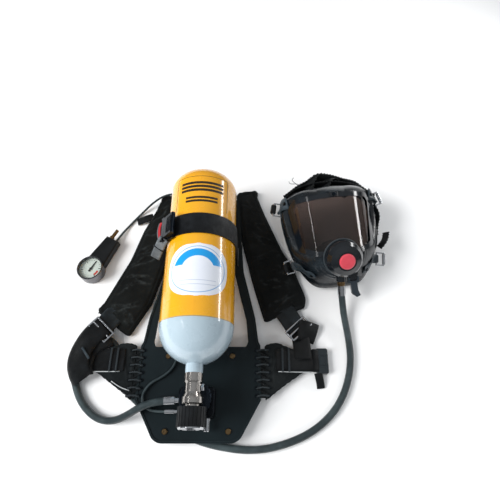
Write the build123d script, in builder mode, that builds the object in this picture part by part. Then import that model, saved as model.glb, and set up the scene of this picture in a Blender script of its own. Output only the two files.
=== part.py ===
from build123d import *

import os
from math import cos, pi, radians, sin, tan

# Self-contained breathing apparatus, laid out on a flat surface.
# Frame: +Z up, +Y along the air cylinder away from its valve, +X to the right, seen from the valve.
# Origin: centre of the lumbar pad's flat face, on the surface that the set lies on.
# All sizes are in millimetres.

# Air cylinder
AXIS_Z = 104.0
CYLINDER_RADIUS = 70.0
CYLINDER_WALL = 5.5
SHOULDER_Y = 70.0
BASE_Y = 365.0
BASE_BULGE = 49.0
NECK_RADIUS = 16.0
NECK_Y = -14.0
NECK_BORE = 9.0

# Backplate and pads
PLATE_UNDERSIDE = 17.0
PLATE_THICKNESS = 5.0
PLATE_TOP = PLATE_UNDERSIDE + PLATE_THICKNESS
PLATE_FOOT_Y = -125.0
WING_X = 121.0
SCREW_PLACES = [(-59, -105), (59, -105), (-64, 33), (64, 33)]
SCREW_HEAD_RADIUS = 5.5
SCREW_SHANK_RADIUS = 2.5

# Cylinder strap
STRAP_LOW_Y = 233.0
STRAP_WIDTH = 44.0
STRAP_THICKNESS = 2.2
STRAP_GAP = 0.3

# Cylinder valve and handwheel
WHEEL_RADIUS = 25.0
WHEEL_Y = -70.0
WHEEL_LENGTH = 32.0
SPINDLE_RADIUS = 5.0
RUNNING = 0.05

# Pressure reducer
OUTLET_Y = -52.0
REDUCER_TOP = 46.0
CHAMBER = (20, -70)
NUT_RADIUS = 30.0

# Hoses
MEDIUM_HOSE_DIAMETER = 14.0
GAUGE_HOSE_DIAMETER = 5.0

# Pressure gauge
GAUGE_CENTRE = (-255, 225, 0)
GAUGE_RADIUS = 28.0
GAUGE_HEIGHT = 28.0

# Webbing and pads
WEBBING_WIDTH = 44.0
WEBBING_THICKNESS = 2.2
SHOULDER_PAD_THICKNESS = 16.5
WAIST_PAD_UNDERSIDE = 15.0
WAIST_PAD_THICKNESS = 7.0
WING_DROOP = 5.5

# Face mask: its own plane lies on the face seal, y towards the forehead, z out through the visor
MASK_ORIGIN = (281, 288, 46)
MASK_TILT = 20.0
MASK_TURN = 7.5
MASK_SKIN = 5.0
VISOR_RADIUS = 105.0
VISOR_AXIS_DEPTH = -38.0
VISOR_THICKNESS = 3.0

# Demand valve: its plane stands on the mask's port
PORT_Y = -45.0
PORT_HEIGHT = 60.0
PORT_TILT = 21.0
DEMAND_RADIUS = 37.0
PORT_RADIUS = 34.0

os.makedirs("parts", exist_ok=True)

cylinder_side = Plane(origin=(0, 0, AXIS_Z), x_dir=(0, 1, 0), z_dir=(1, 0, 0))
cylinder_axis = Axis((0, 0, AXIS_Z), (0, 1, 0))


def rod(start, end, radius):
    """A round bar between two points."""
    run = Vector(*tuple(end)) - Vector(*tuple(start))
    with BuildPart(mode=Mode.PRIVATE) as bar:
        with BuildSketch(Plane(origin=start, z_dir=run)):
            Circle(radius)
        extrude(amount=run.length)
    return bar.part


def band(start, end, width, thickness):
    """One straight stretch of flat webbing, between two points on its under side."""
    run = Vector(*end) - Vector(*start)
    across = Vector(run.Y, -run.X, 0)
    with BuildPart(mode=Mode.PRIVATE) as stretch:
        with BuildSketch(Plane(origin=start, x_dir=run, z_dir=across)):
            Rectangle(run.length, thickness, align=(Align.MIN, Align.MIN))
        extrude(amount=width / 2, both=True)
    return stretch.part


def turned(profile, plane, axis):
    """A turned piece: a closed outline of (along, out) points spun about an axis."""
    with BuildPart(mode=Mode.PRIVATE) as piece:
        with BuildSketch(plane):
            Polygon(*profile, align=None)
        revolve(axis=axis)
    return piece.part


def hose_path(points):
    """Radii for a hose route: each arc takes 0.45 of the shorter run beside its corner."""
    radii = []
    for before, corner, after in zip(points, points[1:], points[2:]):
        arriving = Vector(*corner) - Vector(*before)
        leaving = Vector(*after) - Vector(*corner)
        turn = radians(arriving.get_angle(leaving))
        radii.append(0.45 * min(arriving.length, leaving.length) / tan(turn / 2))
    return radii


def hose(name, points, diameter):
    """A plain tube along a route of straight runs joined by tangent arcs."""
    radii = hose_path(points)
    with BuildPart(mode=Mode.PRIVATE) as tube:
        with BuildLine() as path:
            FilletPolyline(*points, radius=radii)
        route = path.wires()[0]
        with BuildSketch(Plane(origin=route @ 0, z_dir=route % 0)):
            Circle(diameter / 2)
        sweep(path=route)
    expected = pi * diameter**2 / 4 * route.length
    print(name, "length", round(route.length), "mm, volume ratio", round(tube.part.volume / expected, 4))
    print("  radii in diameters", [round(r / diameter, 1) for r in radii])
    return tube.part


# ---------------------------------------------------------------- carrier

plate_right = [(0, PLATE_FOOT_Y), (78, PLATE_FOOT_Y), (92, -100), (WING_X, -50), (WING_X, 54)]
plate_right += [(117, 62), (111, 110), (98, 165), (86, 215), (80, 300), (72, 408), (0, 414)]
opening_right = [(0, 104), (44, 104), (44, 52), (92, 52), (96, 62)]
opening_right += [(92, 108), (79, 160), (66, 214), (0, 218)]
PLATE_RIM = 2.0


def mirrored(right_half):
    """A closed outline from its right half, which starts and ends on the centre line."""
    left_half = [(-x, y) for x, y in reversed(right_half[1:-1])]
    return right_half + left_half


with BuildPart() as backplate:
    with BuildSketch(Plane.XY.offset(PLATE_UNDERSIDE)) as plate_outline:
        Polygon(*mirrored(plate_right), align=None)
        fillet(plate_outline.vertices().group_by(Axis.Y)[0], 26)
        fillet(plate_outline.vertices().filter_by_position(Axis.Y, 400, 410), 20)
    extrude(amount=PLATE_THICKNESS)
    with BuildSketch(Plane.XY.offset(PLATE_TOP)) as plate_rim:
        add(plate_outline.sketch.face())
        offset(amount=-3.5, mode=Mode.SUBTRACT)
    extrude(amount=PLATE_RIM)
    with BuildSketch(Plane.XY.offset(PLATE_UNDERSIDE)) as opening:
        Polygon(*mirrored(opening_right), align=None)
        fillet(opening.vertices(), 4)
    extrude(amount=PLATE_THICKNESS + PLATE_RIM, mode=Mode.SUBTRACT)
    # slots that the cylinder strap passes through
    with BuildSketch(Plane.XY.offset(PLATE_UNDERSIDE)):
        slot_x = CYLINDER_RADIUS + 1.4
        with Locations((-slot_x, STRAP_LOW_Y + STRAP_WIDTH / 2), (slot_x, STRAP_LOW_Y + STRAP_WIDTH / 2)):
            Rectangle(4, STRAP_WIDTH + 3)
    extrude(amount=PLATE_THICKNESS + PLATE_RIM, mode=Mode.SUBTRACT)
    # two saddles that carry the cylinder
    with BuildSketch(Plane.XY.offset(PLATE_TOP)):
        with Locations((0, 86), (0, 344)):
            Rectangle(72, 24)
    extrude(amount=26)
    with BuildSketch(Plane.XZ.offset(-60)):
        with Locations((0, AXIS_Z)):
            Circle(CYLINDER_RADIUS + STRAP_GAP)
    extrude(amount=-310, mode=Mode.SUBTRACT)
    with BuildSketch(Plane.XY.offset(PLATE_UNDERSIDE)):
        with Locations(*SCREW_PLACES):
            Circle(SCREW_SHANK_RADIUS + 0.1)
    extrude(amount=PLATE_THICKNESS, mode=Mode.SUBTRACT)

with BuildPart() as plate_screws:
    with BuildSketch(Plane.XY.offset(PLATE_TOP)):
        with Locations(*SCREW_PLACES):
            Circle(SCREW_HEAD_RADIUS)
    extrude(amount=3.2)
    chamfer(plate_screws.faces().group_by(Axis.Z)[-1].edges(), 1.2)
    with BuildSketch(Plane.XY.offset(PLATE_TOP + 3.2)):
        with Locations(*SCREW_PLACES):
            RegularPolygon(2.4, 6)
    extrude(amount=-1.8, mode=Mode.SUBTRACT)
    with BuildSketch(Plane.XY.offset(PLATE_UNDERSIDE)):
        with Locations(*SCREW_PLACES):
            Circle(SCREW_SHANK_RADIUS)
    extrude(amount=PLATE_THICKNESS)

with BuildPart() as lumbar_pad:
    with BuildSketch():
        RectangleRounded(124, 90, 16)
    extrude(amount=PLATE_UNDERSIDE)

with BuildPart() as back_pad:
    with BuildSketch():
        with Locations((0, 348)):
            RectangleRounded(120, 92, 16)
    extrude(amount=PLATE_UNDERSIDE)

# lacing cord that ties each waist pad to the plate's wing
with BuildPart() as wing_lacing:
    for side in (-1, 1):
        with BuildSketch(Plane.XY.offset(PLATE_TOP + 2.1)):
            with Locations(*[(side * 125, 1 + 14.5 * rung) for rung in range(-3, 4)]):
                SlotOverall(28, 4)
        extrude(amount=3)

# ---------------------------------------------------------------- air cylinder

inner_radius = CYLINDER_RADIUS - CYLINDER_WALL
with BuildPart() as cylinder_shell:
    with BuildSketch(cylinder_side):
        with BuildLine():
            Line((SHOULDER_Y, CYLINDER_RADIUS), (BASE_Y, CYLINDER_RADIUS))
            EllipticalCenterArc((BASE_Y, 0), BASE_BULGE, CYLINDER_RADIUS, start_angle=0, arc_size=90)
            Line((BASE_Y + BASE_BULGE, 0), (NECK_Y, 0))
            Line((NECK_Y, 0), (NECK_Y, NECK_RADIUS))
            neck_top = SHOULDER_Y - (CYLINDER_RADIUS**2 - NECK_RADIUS**2) ** 0.5
            Line((NECK_Y, NECK_RADIUS), (neck_top, NECK_RADIUS))
            RadiusArc((neck_top, NECK_RADIUS), (SHOULDER_Y, CYLINDER_RADIUS), CYLINDER_RADIUS)
        make_face()
    revolve(axis=cylinder_axis)
    with BuildSketch(cylinder_side):
        with BuildLine():
            Line((SHOULDER_Y, inner_radius), (BASE_Y, inner_radius))
            inner_bulge = BASE_BULGE - CYLINDER_WALL
            EllipticalCenterArc((BASE_Y, 0), inner_bulge, inner_radius, start_angle=0, arc_size=90)
            Line((BASE_Y + inner_bulge, 0), (NECK_Y, 0))
            Line((NECK_Y, 0), (NECK_Y, NECK_BORE))
            bore_top = SHOULDER_Y - (inner_radius**2 - NECK_BORE**2) ** 0.5
            Line((NECK_Y, NECK_BORE), (bore_top, NECK_BORE))
            RadiusArc((bore_top, NECK_BORE), (SHOULDER_Y, inner_radius), inner_radius)
        make_face()
    revolve(axis=cylinder_axis, mode=Mode.SUBTRACT)

# webbing loop round the cylinder and under the plate
strap_inside = CYLINDER_RADIUS + STRAP_GAP
strap_foot = PLATE_UNDERSIDE - STRAP_GAP
with BuildPart() as cylinder_strap:
    with BuildSketch(Plane.XZ.offset(-STRAP_LOW_Y)) as strap_ring:
        for grow, mode in ((STRAP_THICKNESS, Mode.ADD), (0, Mode.SUBTRACT)):
            with Locations((0, AXIS_Z)):
                Circle(strap_inside + grow, mode=mode)
            with Locations((0, strap_foot - grow)):
                side = 2 * (strap_inside + grow)
                Rectangle(side, AXIS_Z - strap_foot + grow, align=(Align.CENTER, Align.MIN), mode=mode)
    extrude(amount=-STRAP_WIDTH)

# over-centre buckle of the cylinder strap, on the strap's upper left
BUCKLE_ANGLE = 142.0
buckle_out = Vector(cos(radians(BUCKLE_ANGLE)), 0, sin(radians(BUCKLE_ANGLE)))
buckle_foot = Vector(0, STRAP_LOW_Y + STRAP_WIDTH / 2, AXIS_Z) + buckle_out * (strap_inside + STRAP_THICKNESS)
buckle_plane = Plane(origin=buckle_foot, x_dir=(0, 1, 0), z_dir=buckle_out)
PIN_Y = 12.0
PIN_HEIGHT = 9.5
PIN_RADIUS = 2.0
LEVER_UNDERSIDE = PIN_HEIGHT - 3.2

pin_ends = [buckle_plane.from_local_coords(Vector(x, PIN_Y, PIN_HEIGHT)) for x in (-27, 27)]
pin_bore = rod(*pin_ends, PIN_RADIUS + RUNNING)

with BuildPart() as strap_buckle_frame:
    with BuildSketch(buckle_plane.offset(1.2)):
        Rectangle(52, 34)
        with Locations((0, -12), (0, -3)):
            Rectangle(STRAP_WIDTH, 3.4, mode=Mode.SUBTRACT)
    extrude(amount=3)
    with BuildSketch(buckle_plane.offset(1.2)):
        with Locations((-24.5, PIN_Y), (24.5, PIN_Y)):
            Rectangle(3, 10)
    extrude(amount=12.5)
    add(pin_bore, mode=Mode.SUBTRACT)

with BuildPart() as strap_buckle_pin:
    add(rod(*pin_ends, PIN_RADIUS))

with BuildPart() as strap_buckle_lever:
    with BuildSketch(buckle_plane.offset(LEVER_UNDERSIDE)):
        with Locations((0, PIN_Y + 3)):
            Rectangle(45, 44, align=(Align.CENTER, Align.MAX))
    extrude(amount=8)
    fillet(strap_buckle_lever.edges().filter_by(Axis.Y), 3)
    with BuildSketch(buckle_plane.offset(LEVER_UNDERSIDE)):
        with Locations((0, -22)):
            Rectangle(34, 18)
    extrude(amount=4, mode=Mode.SUBTRACT)
    add(pin_bore, mode=Mode.SUBTRACT)

# ---------------------------------------------------------------- cylinder valve and handwheel

valve_outline = [(16, 0), (16, NECK_BORE), (NECK_Y, NECK_BORE), (NECK_Y, 16.5), (-28, 16.5)]
valve_outline += [(-31, 14.5), (-46, 14.5), (-54, 18), (-64, 18), (-66, 16.5), (-66, 12), (-72, 12), (-72, 0)]
valve_bore = [(16, 0), (16, 2.5), (-12, 2.5), (-12, 7), (-36, 7), (-36, SPINDLE_RADIUS + RUNNING)]
valve_bore += [(-72, SPINDLE_RADIUS + RUNNING), (-72, 0)]

with BuildPart() as valve_body:
    with BuildSketch(cylinder_side):
        Polygon(*valve_outline, align=None)
    revolve(axis=cylinder_axis)
    add(rod((0, OUTLET_Y, 62), (0, OUTLET_Y, AXIS_Z), 11))
    with BuildSketch(cylinder_side):
        Polygon(*valve_bore, align=None)
    revolve(axis=cylinder_axis, mode=Mode.SUBTRACT)
    add(rod((0, -30, 62), (0, -30, AXIS_Z - 3), 2.5), mode=Mode.SUBTRACT)
    add(rod((13, -38, AXIS_Z), (30, -38, AXIS_Z), 4), mode=Mode.SUBTRACT)

with BuildPart() as burst_disc_plug:
    with BuildSketch(Plane(origin=(14.6, -38, AXIS_Z), z_dir=(1, 0, 0))):
        RegularPolygon(6.5, 6)
    extrude(amount=5)
    add(rod((13, -38, AXIS_Z), (15, -38, AXIS_Z), 4))
    chamfer(burst_disc_plug.faces().sort_by(Axis.X)[-1].edges(), 0.8)

with BuildPart() as valve_plug:
    add(turned([(-13.2, 0), (-13.2, 4), (-15, 6.9), (-23, 6.9), (-23, 0)], cylinder_side, cylinder_axis))

hub_outline = [(-30, 0), (-30, SPINDLE_RADIUS), (-74, SPINDLE_RADIUS), (-74, 16), (-102, 16), (-102, 23)]
hub_outline += [(-104, 23), (-106, 21), (-106, 15), (-104, 13.5), (-104, 0)]
with BuildPart() as handwheel_hub:
    add(turned(hub_outline, cylinder_side, cylinder_axis))

with BuildPart() as handwheel_grip:
    with BuildSketch(Plane.XZ.offset(-WHEEL_Y)) as grip_ring:
        with Locations((0, AXIS_Z)):
            Circle(WHEEL_RADIUS)
            Circle(16, mode=Mode.SUBTRACT)
            with PolarLocations(WHEEL_RADIUS + 0.6, 24):
                Circle(1.7, mode=Mode.SUBTRACT)
    extrude(amount=WHEEL_LENGTH)

# ---------------------------------------------------------------- pressure reducer

with BuildPart() as reducer_body:
    with BuildSketch(Plane.XY.offset(PLATE_TOP)):
        with Locations((0, -56)):
            RectangleRounded(68, 56, 9)
    extrude(amount=REDUCER_TOP - PLATE_TOP)
    fillet(reducer_body.faces().sort_by(Axis.Z)[-1].edges(), 3)
    add(rod((0, OUTLET_Y, REDUCER_TOP), (0, OUTLET_Y, 60), 8))
    add(rod((0, OUTLET_Y, 60), (0, OUTLET_Y, 62), 10.9))
    add(rod((0, OUTLET_Y, 34), (0, OUTLET_Y, 62), 2.5), mode=Mode.SUBTRACT)
    add(rod((*CHAMBER, 26), (*CHAMBER, REDUCER_TOP), 9), mode=Mode.SUBTRACT)

with BuildPart() as reducer_cap:
    add(rod((*CHAMBER, 42), (*CHAMBER, REDUCER_TOP), 9))
    with BuildSketch(Plane.XY.offset(REDUCER_TOP)):
        with Locations(CHAMBER):
            RegularPolygon(11.5, 6)
    extrude(amount=4.5)

with BuildPart() as reducer_piston:
    add(rod((*CHAMBER, 28), (*CHAMBER, 32), 8.95))
    add(rod((*CHAMBER, 26.3), (*CHAMBER, 28), 3))

with BuildPart() as reducer_spring:
    with BuildLine(Plane.XY.offset(32.8)) as coil:
        Helix(pitch=2.8, height=8.4, radius=6.5, center=(*CHAMBER, 0))
    with BuildSketch(Plane(origin=coil.line @ 0, z_dir=coil.line % 0)):
        Circle(0.75)
    sweep(path=coil.line, is_frenet=True)

with BuildPart() as relief_valve:
    add(rod((20, -84, 35), (20, -88, 35), 7.5))
    add(rod((20, -88, 35), (20, -106, 35), 6))
    chamfer(relief_valve.faces().sort_by(Axis.Y)[0].edges(), 1)

nut_outline = [(54, 8.08), (54, NUT_RADIUS - 2), (56, NUT_RADIUS), (70, NUT_RADIUS)]
nut_outline += [(72, NUT_RADIUS - 2), (72, 11.08), (59.6, 11.08), (59.6, 8.08)]
with BuildPart() as hand_nut:
    with BuildSketch(Plane(origin=(0, OUTLET_Y, 0), x_dir=(0, 0, 1), z_dir=(0, -1, 0))):
        Polygon(*nut_outline, align=None)
    revolve(axis=Axis((0, OUTLET_Y, 0), (0, 0, 1)))
    with BuildSketch(Plane.XY.offset(54)):
        with Locations((0, OUTLET_Y)):
            with PolarLocations(NUT_RADIUS + 0.8, 20):
                Circle(2.2)
    extrude(amount=18, mode=Mode.SUBTRACT)

# ---------------------------------------------------------------- face mask

mask_turn = radians(MASK_TURN)
mask_tilt = radians(MASK_TILT)
mask_across = (cos(mask_turn), sin(mask_turn), 0)
mask_out = (sin(mask_tilt) * sin(mask_turn), -sin(mask_tilt) * cos(mask_turn), cos(mask_tilt))
mask_plane = Plane(origin=MASK_ORIGIN, x_dir=mask_across, z_dir=mask_out)
mask_side = Plane(origin=MASK_ORIGIN, x_dir=mask_plane.y_dir, z_dir=mask_plane.x_dir)
visor_centre = mask_plane.from_local_coords(Vector(0, 0, VISOR_AXIS_DEPTH))
visor_section = Plane(origin=visor_centre, x_dir=mask_plane.x_dir, z_dir=mask_plane.y_dir)
valve_centre = mask_plane.from_local_coords(Vector(0, PORT_Y, PORT_HEIGHT))
port_tilt = radians(PORT_TILT)
valve_out = mask_plane.z_dir * cos(port_tilt) - mask_plane.y_dir * sin(port_tilt)
valve_plane = Plane(origin=valve_centre, x_dir=mask_across, z_dir=valve_out)
valve_axis = Axis(valve_centre, valve_out)


def in_mask(x, y, height):
    return mask_plane.from_local_coords(Vector(x, y, height))


def in_valve(x, y, height):
    return valve_plane.from_local_coords(Vector(x, y, height))


face_outline = [(0, 112), (66, 108), (101, 74), (102, 20), (86, -46), (52, -98), (0, -106)]
mask_profile = [(114, -3), (114, 30), (94, 70), (-40, 70), (-66, 54), (-94, 26), (-106, -3)]


def mask_form(inset, rim_depth):
    """The mask's outer form, shrunk by inset on every wall and reaching down to rim_depth."""
    side_profile = [(along, out - inset if out > 0 else rim_depth + 3 + out) for along, out in mask_profile]
    with BuildPart(mode=Mode.PRIVATE) as form:
        with BuildSketch(mask_plane.offset(rim_depth)) as rim:
            Polygon(*mirrored(face_outline), align=None)
            fillet(rim.vertices(), 26)
            if inset:
                offset(amount=-inset)
        extrude(amount=120)
        with BuildSketch(visor_section):
            Circle(VISOR_RADIUS - inset)
        extrude(amount=150, both=True, mode=Mode.INTERSECT)
        with BuildSketch(mask_side):
            Polygon(*side_profile, align=None)
        extrude(amount=150, both=True, mode=Mode.INTERSECT)
    return form.part


visor_outline = [(-86, 70), (-76, 82), (76, 82), (86, 70), (76, -22), (48, -36), (-48, -36), (-76, -22)]


def visor_sheet(inner, outer, grow):
    """A stretch of the visor's curved sheet between two radii, inside the visor outline grown by grow."""
    with BuildPart(mode=Mode.PRIVATE) as sheet:
        with BuildSketch(visor_section):
            Circle(outer)
            Circle(inner, mode=Mode.SUBTRACT)
        extrude(amount=150, both=True)
        with BuildSketch(mask_plane.offset(8)) as window:
            Polygon(*visor_outline, align=None)
            fillet(window.vertices(), 9)
            if grow:
                offset(amount=grow)
        extrude(amount=90, mode=Mode.INTERSECT)
    return sheet.part


lens = visor_sheet(VISOR_RADIUS + 0.1, VISOR_RADIUS + 0.1 + VISOR_THICKNESS, 0)
port_hole = rod(in_valve(0, 0, -34), in_valve(0, 0, 30), PORT_RADIUS + 0.1)

with BuildPart() as mask_facepiece:
    add(mask_form(0, -3))
    add(mask_form(MASK_SKIN, -6), mode=Mode.SUBTRACT)
    add(visor_sheet(VISOR_RADIUS - 12, VISOR_RADIUS + 1, -7), mode=Mode.SUBTRACT)
    add(port_hole, mode=Mode.SUBTRACT)

with BuildPart() as mask_visor:
    add(lens)
    add(port_hole, mode=Mode.SUBTRACT)

with BuildPart() as visor_frame:
    add(visor_sheet(VISOR_RADIUS + 0.1, VISOR_RADIUS + 6, 6))
    add(visor_sheet(VISOR_RADIUS - 5, VISOR_RADIUS + 12, -4), mode=Mode.SUBTRACT)
    add(lens, mode=Mode.SUBTRACT)
    add(rod(in_valve(0, 0, -34), in_valve(0, 0, 30), PORT_RADIUS - 4), mode=Mode.SUBTRACT)
    add(rod(in_valve(0, 0, -12), in_valve(0, 0, 8), PORT_RADIUS))
    add(rod(in_valve(0, 0, -12), in_valve(0, 0, 8), PORT_RADIUS - 4), mode=Mode.SUBTRACT)
    with BuildSketch(valve_plane.offset(-12)):
        Circle(PORT_RADIUS - 3.9)
        Circle(11, mode=Mode.SUBTRACT)
        with Locations((0, -20)):
            Circle(6.5, mode=Mode.SUBTRACT)
    extrude(amount=3)

with BuildPart() as exhalation_disc:
    add(rod(in_valve(0, -20, -8.7), in_valve(0, -20, -7.4), 8.2))
    add(rod(in_valve(0, -20, -12), in_valve(0, -20, -8.7), 1.5))

with BuildPart() as oronasal_cup:
    for inset, mode in ((0, Mode.ADD), (2.5, Mode.SUBTRACT)):
        with BuildSketch(mask_plane.offset(4)):
            with Locations((0, -46)):
                Ellipse(44 - inset, 42 - inset)
        with BuildSketch(mask_plane.offset(26)):
            with Locations((0, -46)):
                Ellipse(38 - inset, 36 - inset)
        with BuildSketch(valve_plane.offset(-12.5)):
            Circle(24 - inset)
        loft(mode=mode)

# straps of the head harness, bunched behind the forehead
with BuildPart() as head_harness:
    with BuildSketch(mask_plane.offset(-42)):
        with Locations((0, 92)):
            RectangleRounded(118, 44, 14)
    extrude(amount=34)
    add(rod(in_mask(-56, 124, 14), in_mask(56, 124, 14), 10.5))
    add(rod(in_mask(-54, 125, -4), in_mask(54, 125, -4), 10.5))
    add(rod(in_mask(-50, 118, -22), in_mask(50, 118, -22), 10.5))

# strap buckles at the temples and cheeks: a clip on the rim, and a wire loop that swings in it
LOOP_WIRE = 1.6
LOOP_WIDTH = 27.0
LOOP_REACH = 17.0


def buckle_place(x, y, height, facing):
    """Plane of a strap buckle: x along its hinge wire, y pointing away from the mask."""
    outward = mask_plane.x_dir * cos(radians(facing)) + mask_plane.y_dir * sin(radians(facing))
    along = outward.cross(mask_plane.z_dir)
    return Plane(origin=in_mask(x, y, height), x_dir=along, z_dir=mask_plane.z_dir)


buckle_places = {
    "temple_loop_left": buckle_place(-104, 74, 8, 165),
    "temple_loop_right": buckle_place(104, 74, 8, 15),
    "cheek_loop_left": buckle_place(-94, -52, 8, 190),
    "cheek_loop_right": buckle_place(92, -58, 8, -10),
}


def wire_loop(place, width, reach, wire, roller):
    """A rectangular wire loop: hinge side on the plane's x axis, a roller on the far side."""
    corners = [(-width / 2, 0), (width / 2, 0), (width / 2, reach), (-width / 2, reach)]
    spots = [place.from_local_coords(Vector(x, y, 0)) for x, y in corners]
    with BuildPart(mode=Mode.PRIVATE) as loop:
        for spot, following in zip(spots, spots[1:] + spots[:1]):
            add(rod(spot, following, wire))
            with Locations(Location(spot)):
                Sphere(wire)
        if roller:
            edge = width / 2 - 2
            far_side = [place.from_local_coords(Vector(x, reach, 0)) for x in (-edge, edge)]
            add(rod(*far_side, roller))
    return loop.part


loops = {}
for name, place in buckle_places.items():
    with BuildPart() as mask_loop:
        add(wire_loop(place, LOOP_WIDTH, LOOP_REACH, LOOP_WIRE, 3.6))
    loops[name] = mask_loop

with BuildPart() as mask_buckle_clips:
    for place in buckle_places.values():
        with BuildSketch(place.offset(-4.5)):
            with Locations((0, -4)):
                RectangleRounded(18, 15, 3)
        extrude(amount=9)
        bore_ends = [place.from_local_coords(Vector(x, 0, 0)) for x in (-12, 12)]
        add(rod(*bore_ends, LOOP_WIRE + 0.08), mode=Mode.SUBTRACT)

# ---------------------------------------------------------------- demand valve

with BuildPart() as demand_valve_housing:
    add(rod(in_valve(0, 0, 8), in_valve(0, 0, 26), DEMAND_RADIUS))
    add(rod(in_valve(-4, -52, 6), in_valve(-4, -20, 6), 10))
    # bracket that carries the lever's pin
    with BuildSketch(valve_plane.offset(3)):
        with Locations((22, -38.5)):
            Rectangle(15, 28)
    extrude(amount=7)
    with BuildSketch(valve_plane.offset(3)):
        with Locations((22, -32)):
            Rectangle(15, 16)
    extrude(amount=13)
    add(rod(in_valve(0, 0, 11), in_valve(0, 0, 26), DEMAND_RADIUS - 3), mode=Mode.SUBTRACT)
    add(rod(in_valve(0, 0, -4), in_valve(0, 0, 8), PORT_RADIUS + 0.1), mode=Mode.SUBTRACT)
    add(rod(in_valve(0, 0, 8), in_valve(0, 0, 11), 9), mode=Mode.SUBTRACT)
    add(rod(in_valve(-4, -52, 6), in_valve(-4, -40, 6), 5), mode=Mode.SUBTRACT)
    add(rod(in_valve(10, -49, 6), in_valve(34, -49, 6), 1.6 + RUNNING), mode=Mode.SUBTRACT)

with BuildPart() as demand_valve_diaphragm:
    add(rod(in_valve(0, 0, 24.5), in_valve(0, 0, 26), DEMAND_RADIUS - 3))
    add(rod(in_valve(0, 0, 26), in_valve(0, 0, 28), 10))

cover_section = Plane(origin=valve_centre, x_dir=mask_plane.x_dir, z_dir=-valve_plane.y_dir)
cover_outline = [(37, 26), (37, 29), (31, 37.5), (20, 43.5), (16.6, 43.5), (16.6, 40.8), (19, 40.8)]
cover_outline += [(29, 35.2), (34, 28), (34, 26)]
with BuildPart() as demand_valve_cover:
    add(turned(cover_outline, cover_section, valve_axis))

button_outline = [(0, 35), (19, 35), (19, 37), (16.1, 37), (16.1, 45.2), (14, 46.6), (0, 47.4)]
with BuildPart() as demand_valve_button:
    add(turned(button_outline, cover_section, valve_axis))

with BuildPart() as demand_valve_lever:
    with BuildSketch(valve_plane.offset(1.5)) as lever_shape:
        with BuildLine():
            Polyline((15, -55), (29, -55), (31, -76), (36, -88), (28, -92), (18, -84), (15, -55))
        make_face()
        fillet(lever_shape.vertices().group_by(Axis.Y)[0], 2)
    extrude(amount=9)
    with BuildSketch(valve_plane.offset(2.5)):
        with Locations((12.2, -51.5), (31.8, -51.5)):
            Rectangle(4, 9)
    extrude(amount=7)
    with BuildSketch(valve_plane.offset(2.5)):
        with Locations((22, -57)):
            Rectangle(23.6, 4)
    extrude(amount=7)
    add(rod(in_valve(10.5, -49, 6), in_valve(33.5, -49, 6), 1.6))

with BuildPart() as inlet_swivel:
    add(rod(in_valve(-4, -52, 6), in_valve(-4, -46, 6), 4.9))
    add(rod(in_valve(-4, -62, 6), in_valve(-4, -52, 6), 8))

# ---------------------------------------------------------------- hoses

medium_hose_route = [
    (-62, -53, 39),
    (-84, -56, 41.5),
    (-107, -65, 40),
    (-131, -77, 27),
    (-157, -86, 12),
    (-186, -85, 7.3),
    (-212, -70, 7.3),
    (-234, -46, 7.3),
    (-249, -15, 7.3),
    (-260, 14, 7.3),
    (-261, 40, 7.3),
    (-248, 63, 7.3),
    (-227, 75, 7.3),
    (-202, 75, 7.3),
    (-180, 62, 7.3),
    (-168, 40, 7.3),
    (-165, 14, 7.3),
    (-156, -12, 7.3),
    (-139, -35, 7.3),
    (-117, -54, 7.3),
    (-92, -73, 7.3),
    (-62, -92, 7.3),
    (-28, -109, 7.3),
    (9, -122, 7.3),
    (48, -131, 7.3),
    (90, -136, 7.3),
    (132, -134, 7.3),
    (172, -124, 7.3),
    (208, -110, 7.3),
    (240, -90, 7.3),
    (267, -64, 7.3),
    (287, -33, 7.3),
    (300, 2, 7.3),
    (306, 38, 7.3),
    (305, 74, 8),
    (301, 104, 12),
    (297, 131, 21),
    (294.0, 158.5, 36.4),
]
gauge_hose_route = [
    (-60, -71, 32),
    (-78, -71, 29.5),
    (-96, -66, 27.3),
    (-107, -52, 26.9),
    (-105, -34, 26.9),
    (-92, -18, 26.9),
    (-72, -8, 26.9),
    (-54, 6, 26.9),
    (-45, 28, 26.9),
    (-44, 54, 26.9),
    (-49, 84, 26.9),
    (-50, 112, 24),
    (-46, 140, 19),
    (-45, 168, 17.5),
    (-46, 196, 22),
    (-48, 222, 26.9),
    (-49, 252, 26.9),
    (-50, 284, 26.9),
    (-50, 316, 26.9),
    (-52, 348, 26.9),
    (-56, 378, 26.9),
    (-62, 402, 26.9),
    (-74, 419, 26),
    (-94, 423, 22.5),
    (-116, 416, 20),
    (-138, 402, 13),
    (-158, 384, 5),
    (-177, 361, 3),
    (-193, 338, 3.5),
    (-204, 316, 8.5),
    (-211.1, 296.1, 14),
]
medium_pressure = hose("medium_pressure_hose", medium_hose_route, MEDIUM_HOSE_DIAMETER)
gauge_line = hose("gauge_hose", gauge_hose_route, GAUGE_HOSE_DIAMETER)
with BuildPart() as medium_pressure_hose:
    add(medium_pressure)
with BuildPart() as gauge_hose:
    add(gauge_line)

# crimped end fittings of both hoses: reducer outlet, mask inlet and gauge outlet
with BuildPart() as hose_ferrules:
    add(rod((-34, -52, 38), (-42, -52, 38), 5))
    add(rod((-42, -52, 38), medium_hose_route[0], 8.2))
    add(rod(in_valve(-4, -84, 6), in_valve(-4, -62, 6), 8.4))
    add(rod((-34, -71, 32), (-42, -71, 32), 3.5))
    add(rod((-42, -71, 32), gauge_hose_route[0], 4.6))

# ---------------------------------------------------------------- pressure gauge and whistle

gauge_heading = Vector(35, 68, 0).normalized()
gauge_plane = Plane(origin=GAUGE_CENTRE, x_dir=(gauge_heading.Y, -gauge_heading.X, 0), z_dir=(0, 0, 1))


def at_gauge(x, y, z):
    return gauge_plane.from_local_coords(Vector(x, y, z))


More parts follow.
